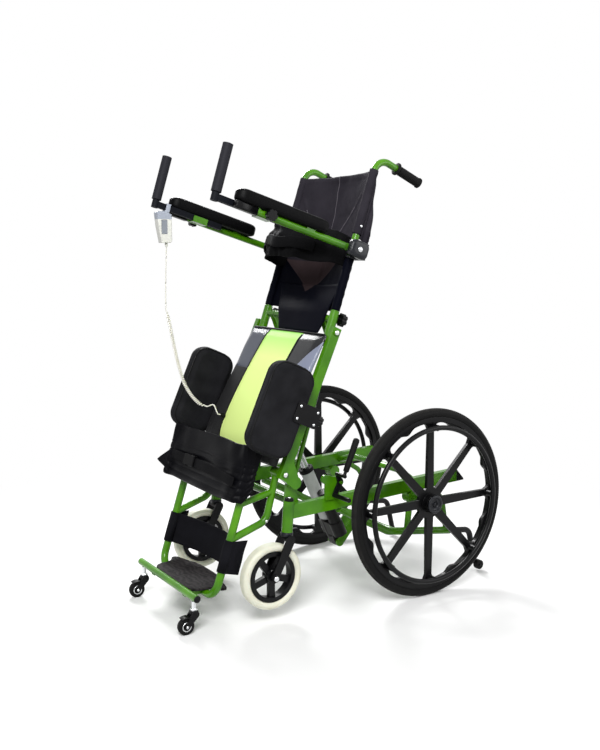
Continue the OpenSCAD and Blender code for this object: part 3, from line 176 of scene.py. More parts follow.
def tube(path, radius, sides=8):
    """A round skin along a path."""
    points = [Vector(p) for p in path]
    side, rings = None, []
    for i, p in enumerate(points):
        along = (points[min(i + 1, len(points) - 1)] - points[max(i - 1, 0)]).normalized()
        side = along.orthogonal() if side is None else side
        side = (side - along * side.dot(along)).normalized()
        other = along.cross(side)
        rings.append([p + radius * (side * math.cos(a) + other * math.sin(a)) for a in circle(sides)])
    return skin(rings)


def joined(*shapes):
    """Several shapes as one."""
    points, faces = [], []
    for shape in shapes:
        faces += [tuple(i + len(points) for i in f) for f in shape[1]]
        points += shape[0]
    return points, faces


def make(name, shape, material, body=None, place=None, smooth=True):
    """A piece from points and faces, put in place and fixed to a body."""
    mesh = bpy.data.meshes.new(name)
    mesh.from_pydata([tuple(p) for p in shape[0]], [], shape[1])
    mesh.transform(place or Matrix())
    mesh.materials.append(material)
    mesh.validate()
    mesh.polygons.foreach_set("use_smooth", [smooth] * len(mesh.polygons))
    obj = bpy.data.objects.new(name, mesh)
    scene.collection.objects.link(obj)
    if body:
        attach(obj, body)
    return obj


def smooth_line(points, steps):
    """Points on a smooth line through the given ones."""
    p = [Vector(q) for q in points]
    p = [2 * p[0] - p[1]] + p + [2 * p[-1] - p[-2]]
    line = []
    for i in range(1, len(p) - 2):
        a, b, c, d = p[i - 1:i + 3]
        for k in range(steps):
            f = k / steps
            bend = (2 * a - 5 * b + 4 * c - d) * f * f + (3 * b - a - 3 * c + d) * f ** 3
            line.append((2 * b + (c - a) * f + bend) / 2)
    return line + [p[-2]]


# PVC: smooth, slightly milky, so it has a soft broad gloss.
pvc_white, tree, shader, spot = finish("white_pvc", {
    "Base Color": linear("#ECEAE0"), "IOR": 1.53,
    "Subsurface Weight": 0.1, "Subsurface Radius": (0.002, 0.002, 0.0015)})
spots = add_node(tree, "TexNoise", {"Vector": spot, "Scale": 90.0})
plug(shader, {"Roughness": add_node(tree, "MapRange", {"Value": spots, "To Min": 0.34, "To Max": 0.5})})

axle_y = 0.25475


def at(x, ahead, up):
    """A point given in millimetres: across, ahead of the drive axle, above the floor."""
    return Vector((x / 1000, axle_y - ahead / 1000, up / 1000))


cord_d, curl_r, curls, curl_points = 0.004, 0.004, 60, 16
# the curls grow over one part in this many of their route, at each end
opening = 12
lead_steps = 8
lead = [Vector((-0.198, -0.407686, 1.11596)), at(-199, 663, 1080), at(-200, 666, 1000), at(-200, 667, 935)]
curl_route = [at(-200, 667, 923), at(-196, 656, 868), at(-190, 646, 804), at(-182, 637, 749),
              at(-170, 625, 691), at(-160, 613, 659), at(-148, 597, 631), at(-136, 580, 613),
              at(-124, 562, 606)]
gland_mouth = Vector((-0.098, -0.273967, 0.580031))
tail = [at(-112, 546, 611), Vector((-0.098, -0.284938, 0.584893)), gland_mouth]
middle = smooth_line(curl_route, 40)
runs = [0.0]
for a, b in zip(middle, middle[1:]):
    runs.append(runs[-1] + (b - a).length)
coil, step = [], 0
for i in range(curls * curl_points + 1):
    share = i / (curls * curl_points)
    while step < len(runs) - 2 and runs[step + 1] < share * runs[-1]:
        step += 1
    part = (share * runs[-1] - runs[step]) / (runs[step + 1] - runs[step])
    along = (middle[step + 1] - middle[step]).normalized()
    across = along.cross(Vector((0, 1, 0))).normalized()
    # the first and last curls open out, so that the lead leaves them in an easy bend
    grown = min(1, opening * share, opening * (1 - share))
    turn = 2 * math.pi * curls * (share + math.copysign((1 - grown) ** 2 / (2 * opening), 0.5 - share))
    coil.append(middle[step].lerp(middle[step + 1], part)
                + curl_r * grown * (across * math.cos(turn) + across.cross(along) * math.sin(turn)))
lead_line = smooth_line(lead, lead_steps)
curly = [lead_line[-1]] + coil + smooth_line([coil[-1]] + tail, 6)[1:]
low, middle, top = [lead_line[k * lead_steps:(k + 1) * lead_steps + 1] for k in (2, 1, 0)]
for name, from_body, to_body, path, lay in (("cord_curls", "seat", "back_base", curly, "coiled"),
                                            ("cord_lead_low", "back_base", "backrest", low, "hanging"),
                                            ("cord_lead_middle", "backrest", "arm_r", middle, "hanging"),
                                            ("cord_lead_top", "arm_r", "grip_r", top, "hanging")):
    path = path[::-1]
    piece = make(name, tube(path, cord_d / 2), pvc_white)
    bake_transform(piece)
    if name == "cord_curls":
        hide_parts("handset_cord")

# Frame. Welded steel tube and flat rail in bright green powder coat: a thick stoved film with a
# fine orange-peel ripple, glossy, in soft clouds a little darker and lighter.
green_coat, tree, shader, spot = finish("green_powder_coat", {
    "Roughness": 0.24, "IOR": 1.5, "Specular IOR Level": 0.2, "Coat Weight": 0.22, "Coat Roughness": 0.1})
# the ripple is about 2 mm across on the tubes and is drawn at 5 mm so that it shows
ripple = add_node(tree, "TexNoise", {"Vector": spot, "Scale": 1 / 0.005, "Detail": 2.0})
cloud = add_node(tree, "TexNoise", {"Vector": spot, "Scale": 1 / 0.09, "Detail": 3.0})
edge = add_node(tree, "Bevel", {"Radius": 0.0016}, samples=4)
relief = add_node(tree, "Bump", {"Height": ripple, "Strength": 0.12, "Distance": 0.0006, "Normal": edge})
plug(shader, {
    "Base Color": add_node(tree, "ValToRGB", {"Fac": cloud}, ((0.3, "#366E06"), (0.75, "#55960C"))),
    "Normal": relief})


def dress(material, *names):
    """Gives carried-over solids their finish; a name that ends in _ stands for the left and right ones."""
    for name in names:
        for side in ("l", "r") if name.endswith("_") else ("",):
            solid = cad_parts[name + side]
            if not solid.material_slots:
                solid.data.materials.append(material)
            for held in solid.material_slots:
                held.material = material


dress(green_coat, "side_frame_", "cross_tubes", "seat_rails", "seat_cross_tubes", "back_sleeves",
      "back_tubes", "arm_tube_", "leg_frame", "caster_bar", "back_links")

# Moulded black parts. Caps, knobs, clamps and wheels in glass-filled nylon, which moulds with a fine
# grain and a satin face, its edges broken by the mould. The brake levers and the anti-tip tubes are
# steel, dipped in the same nylon.
black_nylon, tree, shader, spot = finish("moulded_black_nylon", {"IOR": 1.53, "Specular IOR Level": 0.16})
# spark-eroded grain of about 1 mm, drawn at 3 mm so that it shows
grain = add_node(tree, "TexNoise", {"Vector": spot, "Scale": 1 / 0.003, "Detail": 4.0, "Roughness": 0.7})
wear = add_node(tree, "TexNoise", {"Vector": spot, "Scale": 1 / 0.05, "Detail": 4.0})
edge = add_node(tree, "Bevel", {"Radius": 0.0015}, samples=4)
relief = add_node(tree, "Bump", {"Height": grain, "Strength": 0.15, "Distance": 0.0005, "Normal": edge})
plug(shader, {
    "Base Color": add_node(tree, "ValToRGB", {"Fac": wear}, ((0, "#040405"), (1, "#0B0B0D"))),
    "Roughness": add_node(tree, "MapRange", {"Value": wear, "To Min": 0.26, "To Max": 0.4}),
    "Normal": relief})
dress(black_nylon, "rail_end_caps", "antitip_tubes", "control_box", "cord_gland", "thigh_bracket_",
      "thigh_knob_", "height_knob_", "arm_knob_", "caster_rim_", "rear_rim_", "brake_lever_")

# Rubber parts. Rollers, tyres and grips in black vulcanised rubber, left as they come from the mould:
# matt charcoal with fine pores, and dusty where it wears. The anti-tip rollers turn on pins in their tubes.
black_rubber, tree, shader, spot = finish("vulcanised_black_rubber", {
    "Roughness": 0.68, "IOR": 1.52, "Specular IOR Level": 0.14})
dust = add_node(tree, "TexNoise", {"Vector": spot, "Scale": 1 / 0.03, "Detail": 5.0})
pores = add_node(tree, "TexNoise", {"Vector": spot, "Scale": 1 / 0.0025, "Detail": 2.0})
plug(shader, {
    "Base Color": add_node(tree, "ValToRGB", {"Fac": dust}, ((0, "#050505"), (1, "#0F0F0F"))),
    "Normal": add_node(tree, "Bump", {"Height": pores, "Strength": 0.2, "Distance": 0.0005})})
dress(black_rubber, "antitip_wheels")

# Caster tyres. Solid rings of cast polyurethane on the front casters' rims, cream white. The casting is
# slightly translucent, has a soft gloss and is scuffed by the floor.
cream_tyre, tree, shader, spot = finish("cream_polyurethane", {
    "Roughness": 0.45, "IOR": 1.5, "Subsurface Weight": 0.15, "Subsurface Radius": (0.004, 0.003, 0.002)})
scuff = add_node(tree, "TexNoise", {"Vector": spot, "Scale": 1 / 0.02, "Detail": 5.0})
plug(shader, {"Base Color": add_node(tree, "ValToRGB", {"Fac": scuff}, ((0, "#D2D1BC"), (1, "#E6E6D6")))})
dress(cream_tyre, "caster_tyre_")

# Lift actuator. A drawn aluminium tube, anodised pale, with a black gear motor at its foot, and a ground
# steel rod that slides out of it to raise the seat. Both are smooth, with faint streaks along the metal.
lift_case, tree, shader, spot = finish("anodised_aluminium_and_black_motor", {
    "IOR": 1.5, "Specular IOR Level": 0.2})
place = add_node(tree, "SeparateXYZ", {0: spot}).outputs
# the tube starts 207 mm above the floor, and the motor stands out more than 25 mm to the left
height = add_node(tree, "MapRange", {"Value": place["Z"], "From Min": 0.205, "From Max": 0.209})
sideways = add_node(tree, "MapRange", {"Value": place["X"], "From Min": 0.0245, "From Max": 0.0255,
                                       "To Min": 1.0, "To Max": 0.0})
pale = add_node(tree, "Math", {0: height, 1: sideways}, operation="MULTIPLY")
streak = add_node(tree, "TexNoise", {"Vector": spot, "Scale": 1 / 0.02, "Detail": 4.0})
bright = add_node(tree, "ValToRGB", {"Fac": streak}, ((0, "#A9ABAB"), (1, "#C2C4C4")))
plug(shader, {
    "Base Color": add_node(tree, "Mix", {"Factor": pale, 6: linear("#0C0B0B"), 7: bright}, data_type="RGBA"),
    "Roughness": add_node(tree, "MapRange", {"Value": pale, "To Min": 0.45, "To Max": 0.34})})
dress(lift_case, "actuator_barrel")
bright_steel, tree, shader, spot = finish("ground_steel", {"Base Color": linear("#B9BBBD"), "Metallic": 1.0})
lines = add_node(tree, "TexNoise", {"Vector": spot, "Scale": 1 / 0.004, "Detail": 3.0})
plug(shader, {"Roughness": add_node(tree, "MapRange", {"Value": lines, "To Min": 0.18, "To Max": 0.36})})
dress(bright_steel, "actuator_rod")

# Handset. A white ABS shell with well rounded edges and a grey rocker in its face, hung on the right hand
# post by a pale grey clip. All are moulded with a fine grain.
white_abs, tree, shader, spot = finish("white_abs", {"Roughness": 0.35, "IOR": 1.53})
grain = add_node(tree, "TexNoise", {"Vector": spot, "Scale": 1 / 0.002, "Detail": 2.0})
edge = add_node(tree, "Bevel", {"Radius": 0.004}, samples=6)
height = add_node(tree, "SeparateXYZ", {0: spot}).outputs["Z"]
top = add_node(tree, "MapRange", {"Value": height, "From Min": 1.2005, "From Max": 1.2025})
both = add_node(tree, "Mix", {"Factor": top, 6: linear("#E9E9E2"), 7: linear("#A9B0BE")}, data_type="RGBA")
relief = add_node(tree, "Bump", {"Height": grain, "Strength": 0.08, "Distance": 0.0004, "Normal": edge})
plug(shader, {"Base Color": both, "Normal": relief})
dress(white_abs, "handset")
grey_abs, tree, shader, spot = finish("grey_abs", {"Base Color": linear("#8D929B"), "IOR": 1.53})
grain = add_node(tree, "TexNoise", {"Vector": spot, "Scale": 1 / 0.002, "Detail": 2.0})
plug(shader, {"Roughness": add_node(tree, "MapRange", {"Value": grain, "To Min": 0.34, "To Max": 0.48})})
dress(grey_abs, "handset_rocker")

# Arm blocks and grip bars. Cast hinge blocks with rounded edges, in blue-black enamel, clamped to the back
# tubes; and enamelled square bars that slide in the arm tubes, whose posts carry sleeves of matt foam.
blue_black, tree, shader, spot = finish("blue_black_enamel", {
    "Roughness": 0.32, "IOR": 1.5, "Specular IOR Level": 0.3})
cloud = add_node(tree, "TexNoise", {"Vector": spot, "Scale": 1 / 0.04, "Detail": 3.0})
plug(shader, {"Base Color": add_node(tree, "ValToRGB", {"Fac": cloud}, ((0, "#0B0D12"), (1, "#171A21"))),
              "Normal": add_node(tree, "Bevel", {"Radius": 0.005}, samples=6)})
dress(blue_black, "arm_blocks")
grip_foam, tree, shader, spot = finish("black_foam_on_enamelled_bar", {
    "Roughness": 0.62, "IOR": 1.5, "Specular IOR Level": 0.12})
# foam cells of about 0.5 mm, drawn at 3 mm so that they show
cells = add_node(tree, "TexNoise", {"Vector": spot, "Scale": 1 / 0.003, "Detail": 3.0})
up_post = add_node(tree, "VectorMath", {0: spot, 1: (0, 0.28903, 0.95732)}, operation="DOT_PRODUCT")
foam = add_node(tree, "MapRange", {"Value": up_post, "From Min": 1.0815, "From Max": 1.0825})
tone = add_node(tree, "ValToRGB", {"Fac": cells}, ((0, "#1B1B20"), (1, "#2B2B31")))
plug(shader, {
    "Base Color": add_node(tree, "Mix", {"Factor": foam, 6: linear("#0A0C13"), 7: tone}, data_type="RGBA"),
    "Normal": add_node(tree, "Bump", {"Height": cells, "Strength": 0.2, "Distance": 0.0006})})
dress(grip_foam, "grip_bar_")

# Seat cushion. A moulded foam pad in a sewn cover: a fluorescent lime stripe down the middle, black
# cloth each side and grey glossy vinyl at the upper corners, with a black piped edge.
on_seat = Matrix.Translation((0, -0.23625, 0.443)) @ Matrix.Rotation(math.radians(-23.9), 4, "X")
cushion_w, cushion_l, cushion_t, cushion_thin, cushion_low = 0.444, 0.433, 0.070, 0.010, 0.008
stripe_half = 0.098
back_face = -0.0153


def signed_power(v, e):
    """A power that keeps the sign, which squares a circle's corners up."""
    return math.copysign(abs(v) ** e, v)


def cushion_depth(t):
    """The cushion's thickness at a share of its length: a wedge with rounded ends."""
    wedge = cushion_thin + (cushion_t - cushion_thin) * (1 - t) ** 0.8
    return wedge * math.sin(math.pi * (0.03 + 0.94 * t)) ** 0.22


def set_mesh(obj):
    """Applies a piece's modifiers."""
    obj.data = bpy.data.meshes.new_from_object(obj.evaluated_get(bpy.context.evaluated_depsgraph_get()))
    obj.modifiers.clear()


def puff(obj, voxel, cap, held):
    """Blows a sewn cover up as cloth over its foam; held says which points stay, cap how far others go."""
    obj.modifiers.new("even", "REMESH").voxel_size = voxel
    set_mesh(obj)
    start = [v.co.copy() for v in obj.data.vertices]
    obj.vertex_groups.new(name="held").add([i for i, p in enumerate(start) if held(p)], 1.0, "REPLACE")
    cover = obj.modifiers.new("cover", "CLOTH")
    cover.settings.use_pressure = True
    cover.settings.uniform_pressure_force = 4
    cover.settings.vertex_group_mass = "held"
    cover.settings.effector_weights.gravity = 0
    cover.point_cache.frame_start, cover.point_cache.frame_end = 1, 20
    for step in range(1, 21):
        scene.frame_set(step)
    moved = [v.co.copy() for v in obj.evaluated_get(bpy.context.evaluated_depsgraph_get()).data.vertices]
    obj.modifiers.clear()
    for v, a, b in zip(obj.data.vertices, start, moved):
        v.co = a + (b - a) * min(1, cap / max((b - a).length, 1e-9))
    scene.frame_set(1)
    obj.modifiers.new("soften", "SUBSURF").levels = 1
    set_mesh(obj)
    obj.vertex_groups.clear()
    obj.data.polygons.foreach_set("use_smooth", [True] * len(obj.data.polygons))


def settle(points, obj, aim, lift):
    """Points dropped along aim on to a finished cover and lifted off it by a little."""
    cover = BVHTree.FromPolygons([v.co for v in obj.data.vertices], [p.vertices for p in obj.data.polygons])
    found = [cover.ray_cast(Vector(p), aim)[0] for p in points]
    return [p - aim * lift for p in found if p]


rings = []
for i in range(49):
    t = i / 48
    h, w = cushion_depth(t), cushion_w / 2 - 0.007 * math.sin(math.pi * t)
    ring = []
    for a in circle(96):
        x, lift_up = w * signed_power(math.cos(a), 0.42), signed_power(math.sin(a), 0.42)
        seam = 0.004 * math.exp(-((abs(x) - stripe_half) / 0.006) ** 2) * min(1, h / 0.05)
        ring.append((x, back_face - h / 2 - h / 2 * lift_up + (seam if lift_up > 0 else 0),
                     cushion_low + t * cushion_l))
    rings.append(ring)
cushion_cloth, tree, shader, spot = finish("cushion_cover_cloth_and_vinyl", {
    "IOR": 1.5, "Specular IOR Level": 0.35})
place = add_node(tree, "SeparateXYZ", {0: spot}).outputs
aside = add_node(tree, "Math", {0: place["X"]}, operation="ABSOLUTE")
lime = add_node(tree, "MapRange", {"Value": aside, "From Min": stripe_half - 0.0015,
                                   "From Max": stripe_half - 0.0005, "To Min": 1.0, "To Max": 0.0})
high = add_node(tree, "MapRange", {"Value": place["Z"], "From Min": 0.7255, "From Max": 0.7275})
rise = add_node(tree, "MapRange", {"Value": place["Z"], "From Min": 0.45, "From Max": 0.85})
tone = add_node(tree, "ValToRGB", {"Fac": rise}, ((0.8, "#E3FA96"), (1, "#A2EA6C")))
# the same vinyl is drawn paler at the far corner, which is a painted reflection, and a wedge at the near
# corner is a painted highlight, paler still
far = add_node(tree, "Math", {0: place["X"], 1: 0.0}, operation="LESS_THAN")
vinyl = add_node(tree, "Mix", {"Factor": far, 6: linear("#17181C"), 7: linear("#3E4350")}, data_type="RGBA")
painted_highlight_slant = add_node(tree, "Math", {0: place["Z"], 1: -0.76, 2: place["X"]}, operation="MULTIPLY_ADD")
# the near corner's pale wedge is a painted highlight
corner = add_node(tree, "Math", {0: painted_highlight_slant, 1: -0.414}, operation="GREATER_THAN")
vinyl = add_node(tree, "Mix", {"Factor": corner, 6: vinyl, 7: linear("#7F8599")}, data_type="RGBA")
patch = add_node(tree, "Mix", {"Factor": high, 6: linear("#0C0C0E"), 7: vinyl}, data_type="RGBA")
gloss = add_node(tree, "MapRange", {"Value": high, "To Min": 0.72, "To Max": 0.24})
# the cover's threads are about 0.6 mm apart and are drawn at 2.4 mm so that they show;
# a wave node of scale 1 has its bands 2 pi / 20 m apart
wave_scale = 0.314159
threads = [add_node(tree, "TexWave", {"Vector": spot, "Scale": wave_scale / 0.0024, "Distortion": 1.5},
                    bands_direction=d).outputs["Fac"] for d in "XZ"]
weave = add_node(tree, "Math", {0: threads[0], 1: threads[1]}, operation="MULTIPLY")
plug(shader, {
    "Base Color": add_node(tree, "Mix", {"Factor": lime, 6: patch, 7: tone}, data_type="RGBA"),
    "Roughness": add_node(tree, "Mix", {"Factor": lime, "A": gloss, "B": 0.6}),
    "Normal": add_node(tree, "Bump", {"Height": weave, "Strength": 0.25, "Distance": 0.0006})})
cushion = make("seat_cushion_cover", skin(rings), cushion_cloth, place=on_seat)
off_seat = on_seat.inverted()
puff(cushion, 0.006, 0.006, lambda p: (off_seat @ p).y > back_face - 0.006 or (off_seat @ p).z > 0.428)
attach(cushion, "seat")
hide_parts("seat_cushion")
# black piping along both edges of the stripe and the upper edge, sewn into the seams
piping, tree, shader, spot = finish("black_piping_cord", {
    "Base Color": linear("#0A0A0B"), "Roughness": 0.6, "IOR": 1.5, "Specular IOR Level": 0.15})
twist = add_node(tree, "TexWave", {"Vector": spot, "Scale": wave_scale / 0.004}, bands_direction="DIAGONAL")
plug(shader, {"Normal": add_node(tree, "Bump", {"Height": twist.outputs["Fac"], "Strength": 0.3,
                                                "Distance": 0.0004})})
front_aim = (on_seat.to_3x3() @ Vector((0, 1, 0))).normalized()
in_front = -0.2
down = [cushion_low + cushion_l * k / 60 for k in range(2, 59)]
over = [0.205 * (k / 30 - 1) for k in range(61)]
for name, line, off, r in (("l", [(stripe_half, in_front, z) for z in down], 0.0005, 0.0022),
                           ("r", [(-stripe_half, in_front, z) for z in down], 0.0005, 0.0022),
                           ("top", [(x, in_front, 0.4355) for x in over], 0.0008, 0.0032)):
    line = settle([on_seat @ Vector(p) for p in line], cushion, front_aim, off)
    make("cushion_piping_" + name, tube(line, r), piping, "seat")


# Thigh pads. Foam in black polyester cloth, bolted to the brackets beside the cushion. A welt runs
# round both faces where the panels of the cover are sewn together.
def cloth(name, dark, light, bands, rough=0.8, gloss=0.08):
    """Woven polyester: threads 0.5 mm apart, drawn crossed at 2.5 mm so that they show, in soft clouds."""
    made, tree, shader, spot = finish(name, {"Roughness": rough, "IOR": 1.5, "Specular IOR Level": gloss})
    waves = [add_node(tree, "TexWave", {"Vector": spot, "Scale": wave_scale / 0.0025, "Distortion": 1.0},
                      bands_direction=b).outputs["Fac"] for b in bands]
    weave = add_node(tree, "Math", {0: waves[0], 1: waves[1]}, operation="MULTIPLY")
    cloud = add_node(tree, "TexNoise", {"Vector": spot, "Scale": 1 / 0.06, "Detail": 3.0})
    level = add_node(tree, "Math", {0: weave, 1: 0.4, 2: cloud}, operation="MULTIPLY_ADD")
    plug(shader, {"Base Color": add_node(tree, "ValToRGB", {"Fac": level}, ((0.25, dark), (0.85, light))),
                  "Normal": add_node(tree, "Bump", {"Height": weave, "Strength": 0.3, "Distance": 0.0006})})
    return made


pad_cloth = cloth("black_polyester_pad_cover", "#101012", "#262629", "YZ")
pad_in, pad_t, pad_low, pad_l, pad_near, pad_h = 0.2245, 0.041, 0.033, 0.279, 0.029, 0.155
quarters = list(enumerate(((1, 1), (-1, 1), (-1, -1), (1, -1))))
both_sides = (("l", 1), ("r", -1))


def pad_ring(inset, x):
    """The pad's rounded outline, drawn in by inset, at one place across its thickness."""
    half_y, half_s, corner = pad_h / 2 - inset, pad_l / 2 - inset, max(0.046 - inset, 0.004)
    return [Vector((x, -pad_near - pad_h / 2 - u * (half_y - corner) - corner * math.cos(a),
                    pad_low + pad_l / 2 + v * (half_s - corner) + corner * math.sin(a)))
            for q, (u, v) in quarters for a in (math.pi / 2 * (q + k / 17) for k in range(18))]


edge_r, crown = 0.013, 0.0035
across = [(0.066 - 0.006 * k, crown * (0.9 - k / 10) ** 2 - crown) for k in range(9)]
across += [(edge_r * (1 - math.sin(a)), edge_r * (1 - math.cos(a)))
           for a in (math.pi * k / 16 for k in range(9))]
for side, out in both_sides:
    there = on_seat @ Matrix.Scale(out, 4, (1, 0, 0))
    inner = [pad_ring(inset, pad_in + crown + x) for inset, x in across]
    outer = [pad_ring(inset, pad_in + pad_t - max(x, 0)) for inset, x in reversed(across)]
    pad = make("thigh_pad_cover_" + side, skin(inner + outer), pad_cloth, place=there)
    puff(pad, 0.005, 0.0015, lambda p: abs(p.x) > pad_in + pad_t - 0.004)
    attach(pad, "thigh_" + side)
    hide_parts("thigh_pad_" + side)
    for name, x in (("inner", pad_in + crown + 0.003), ("outer", pad_in + pad_t - 0.003)):
        line = pad_ring(0.0048, x)
        welt = make("thigh_%s_welt_%s" % (name, side), tube(line + line[:1], 0.0022, 6), piping,
                    "thigh_" + side, there)

# Arm pads. Moulded polyurethane foam with its own tough black skin, grained like hide, screwed to the
# arm tubes; the tips are rounded and the upper face is slightly crowned.
skin_black, tree, shader, spot = finish("black_integral_skin_foam", {
    "Roughness": 0.42, "IOR": 1.5, "Specular IOR Level": 0.06})
# hide grain of about 1 mm, drawn at 3 mm
hide = add_node(tree, "TexVoronoi", {"Vector": spot, "Scale": 1 / 0.003}, feature="DISTANCE_TO_EDGE")
cloud = add_node(tree, "TexNoise", {"Vector": spot, "Scale": 1 / 0.05, "Detail": 3.0})
plug(shader, {"Base Color": add_node(tree, "ValToRGB", {"Fac": cloud}, ((0, "#040405"), (1, "#0A0A0B"))),
              "Normal": add_node(tree, "Bump", {"Height": hide, "Strength": 0.25, "Distance": 0.0006})})
on_arm = Matrix.Translation((0, 0.019899, 1.106011)) @ Matrix.Rotation(math.radians(-16.8), 4, "X")
rest_x, rest_from, rest_l, rest_up, rest_half_w, rest_half_t = 0.215, -0.111, 0.321, 0.0293, 0.030, 0.0205
rings = []
for i in range(65):
    t = 0.5 - 0.5 * math.cos(math.pi * i / 64)
    tip = max(0, (abs(2 * t - 1) - 0.82) / 0.18)
    e = math.sqrt(max(0.02, 1 - tip * tip))
    w, h = rest_half_w * e * (1 - 0.12 * t * t), rest_half_t * (0.35 + 0.65 * e)
    rings.append([(rest_x + w * signed_power(math.cos(a), 0.55), rest_from - t * rest_l,
                   rest_up + h * signed_power(math.sin(a), 0.5)) for a in circle(48)])
for side, out in both_sides:
    rest = make("arm_pad_skin_" + side, skin(rings), skin_black, "arm_" + side,
                on_arm @ Matrix.Scale(out, 4, (1, 0, 0)))
    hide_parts("arm_pad_" + side)

# Back sling. Two sewn sleeves slide over the back tubes and carry a slack panel of charcoal cloth, coated
# and shiny below the belt. A tongue hangs in front of the cross tube, and flaps close the sleeves behind.
on_back = Matrix.Translation((0, -0.052721, 0.857157)) @ Matrix.Rotation(math.radians(-18.7), 4, "X")


def folds(x, z, size, depth, seed):
    """Soft creases in a cloth, of the given size and depth."""
    return depth * noise.noise(Vector((x / size, z / size, seed)))


def arc(half, sag, back, count):
    """A path seen from above that bows back (or forward, with a minus) between two edges."""
    radius = (half * half + sag * sag) / (2 * abs(sag))
    spread = math.asin(half / radius)
    turns = [spread * (2 * k / count - 1) for k in range(count + 1)]
    return [(radius * math.sin(a), back + math.copysign(radius * (math.cos(a) - math.cos(spread)), sag))
            for a in turns]


def band(path, low, high, thick, rows, shape):
    """Cloth stood on a path; shape gives, for shares along and up it, its push out and its edges' shifts."""
    points = [Vector((x, y, 0)) for x, y in path]
    rings = []
    for i, p in enumerate(points):
        along = (points[min(i + 1, len(points) - 1)] - points[max(i - 1, 0)]).normalized()
        out = Vector((along.y, -along.x, 0))
        ring = []
        for face in (1, -1):
            for j in range(rows + 1):
                v = j / rows if face > 0 else 1 - j / rows
                push, down, up = shape(i / (len(points) - 1), v)
                rim = 0.5 if j in (0, rows) else 1
                z = low + down + (high + up - low - down) * v
                ring.append(p + out * (push + face * rim * thick / 2) + Vector((0, 0, z)))
        rings.append(ring)
    return skin(rings)


back_x, sling_half, sling_sag, sling_low, sling_top = 0.195, 0.1945, 0.035, 0.069, 0.520
sling_cloth, tree, shader, spot = finish("charcoal_and_coated_sling_cloth", {
    "IOR": 1.5, "Specular IOR Level": 0.03})
across = add_node(tree, "SeparateXYZ", {0: spot}).outputs["X"]
up_back = add_node(tree, "VectorMath", {0: spot, 1: (0, 0.32061, 0.94721)}, operation="DOT_PRODUCT")
coated = add_node(tree, "MapRange", {"Value": up_back, "From Min": 1.028, "From Max": 1.032,
                                     "To Min": 1.0, "To Max": 0.0})
off_middle = add_node(tree, "Math", {0: across, 1: 0.035}, operation="ADD")
aside = add_node(tree, "Math", {0: off_middle}, operation="ABSOLUTE")
edge = add_node(tree, "Math", {0: aside, 1: 0.75, 2: 0.924}, operation="MULTIPLY_ADD")
mesh_part = add_node(tree, "Math", {0: up_back, 1: edge}, operation="GREATER_THAN")
cloud = add_node(tree, "TexNoise", {"Vector": spot, "Scale": 1 / 0.08, "Detail": 4.0})
plain = add_node(tree, "ValToRGB", {"Fac": cloud}, ((0, "#201E24"), (1, "#3A373E")))
low_tone = add_node(tree, "Mix", {"Factor": mesh_part, 6: linear("#050610"), 7: linear("#45393B")},
                    data_type="RGBA")
# the seams' pale stitching: one line down the middle and a V below it
beside = add_node(tree, "Math", {0: across, 1: 0.01}, operation="ADD")
off_seam = add_node(tree, "Math", {0: beside}, operation="ABSOLUTE")
slope = add_node(tree, "Math", {0: up_back, 1: -0.75, 2: off_seam}, operation="MULTIPLY_ADD")
stitches = []
for value, line, half_width, level, reach in ((across, 0.0, 0.0014, 1.215, 0.098),
                                              (slope, -0.7725, 0.0019, 1.135, 0.07)):
    on_line = add_node(tree, "Math", {0: value, 1: line, 2: half_width}, operation="COMPARE")
    in_reach = add_node(tree, "Math", {0: up_back, 1: level, 2: reach}, operation="COMPARE")
    stitches.append(add_node(tree, "Math", {0: on_line, 1: in_reach}, operation="MULTIPLY"))
stitch = add_node(tree, "Math", {0: stitches[0], 1: stitches[1]}, operation="MAXIMUM")
panel_tone = add_node(tree, "Mix", {"Factor": stitch, 6: plain, 7: linear("#67636A")}, data_type="RGBA")
shine = add_node(tree, "Math", {0: coated, 1: mesh_part}, operation="SUBTRACT")
# the threads are 0.5 mm apart and are drawn at 2.5 mm
threads = [add_node(tree, "TexWave", {"Vector": spot, "Scale": wave_scale / 0.0025, "Distortion": 1.0},
                    bands_direction=b).outputs["Fac"] for b in "XZ"]
weave = add_node(tree, "Math", {0: threads[0], 1: threads[1]}, operation="MULTIPLY")
plug(shader, {
    "Base Color": add_node(tree, "Mix", {"Factor": coated, 6: panel_tone, 7: low_tone}, data_type="RGBA"),
    "Roughness": add_node(tree, "MapRange", {"Value": shine, "To Min": 0.78, "To Max": 0.58}),
    "Normal": add_node(tree, "Bump", {"Height": weave, "Strength": 0.3, "Distance": 0.0006})})


def sling_shape(t, v):
    """The slack panel: soft folds, the seams' ridges, the hems, and a top drawn tight."""
    x, z = back_x * (2 * t - 1), sling_low + (sling_top - sling_low) * v
    slack = 1 - (2 * t - 1) ** 2
    crease = abs(abs(x + 0.01) - (z - 0.235) * 0.75)
    seams = 0.0022 * math.exp(-(x / 0.0035) ** 2)
    if 0.27 < z < 0.45:
        seams += 0.0026 * math.exp(-(crease / 0.005) ** 2)
    hem = 0.0014 if v > 0.965 or v < 0.03 else 0
    tight = 0.018 * slack * max(0, (v - 0.7) / 0.3)
    soft = folds(x, z * 0.4, 0.08, 0.007, 1.3) + folds(x, z, 0.03, 0.0016, 4.1)
    return slack * soft + seams + hem + tight, 0, 0


def sleeve(x, low, top):
    """A sewn tube of cloth round a back tube, puckered along its seam."""
    rings = []
    for z, inside in [(low + (top - low) * k / 50, 0) for k in range(51)] + [(top, 1), (low, 1)]:
        ring = []
        for a in circle(40):
            pucker = 0.0007 * math.sin(z * 2 * math.pi / 0.028) * max(0, math.sin(a))
            r = 0.0115 if inside else 0.0141 + pucker + folds(a * 0.03, z, 0.022, 0.0009, x)
            ring.append((x + r * math.cos(a), r * math.sin(a), z))
        rings.append(ring)
    return round_skin(rings)


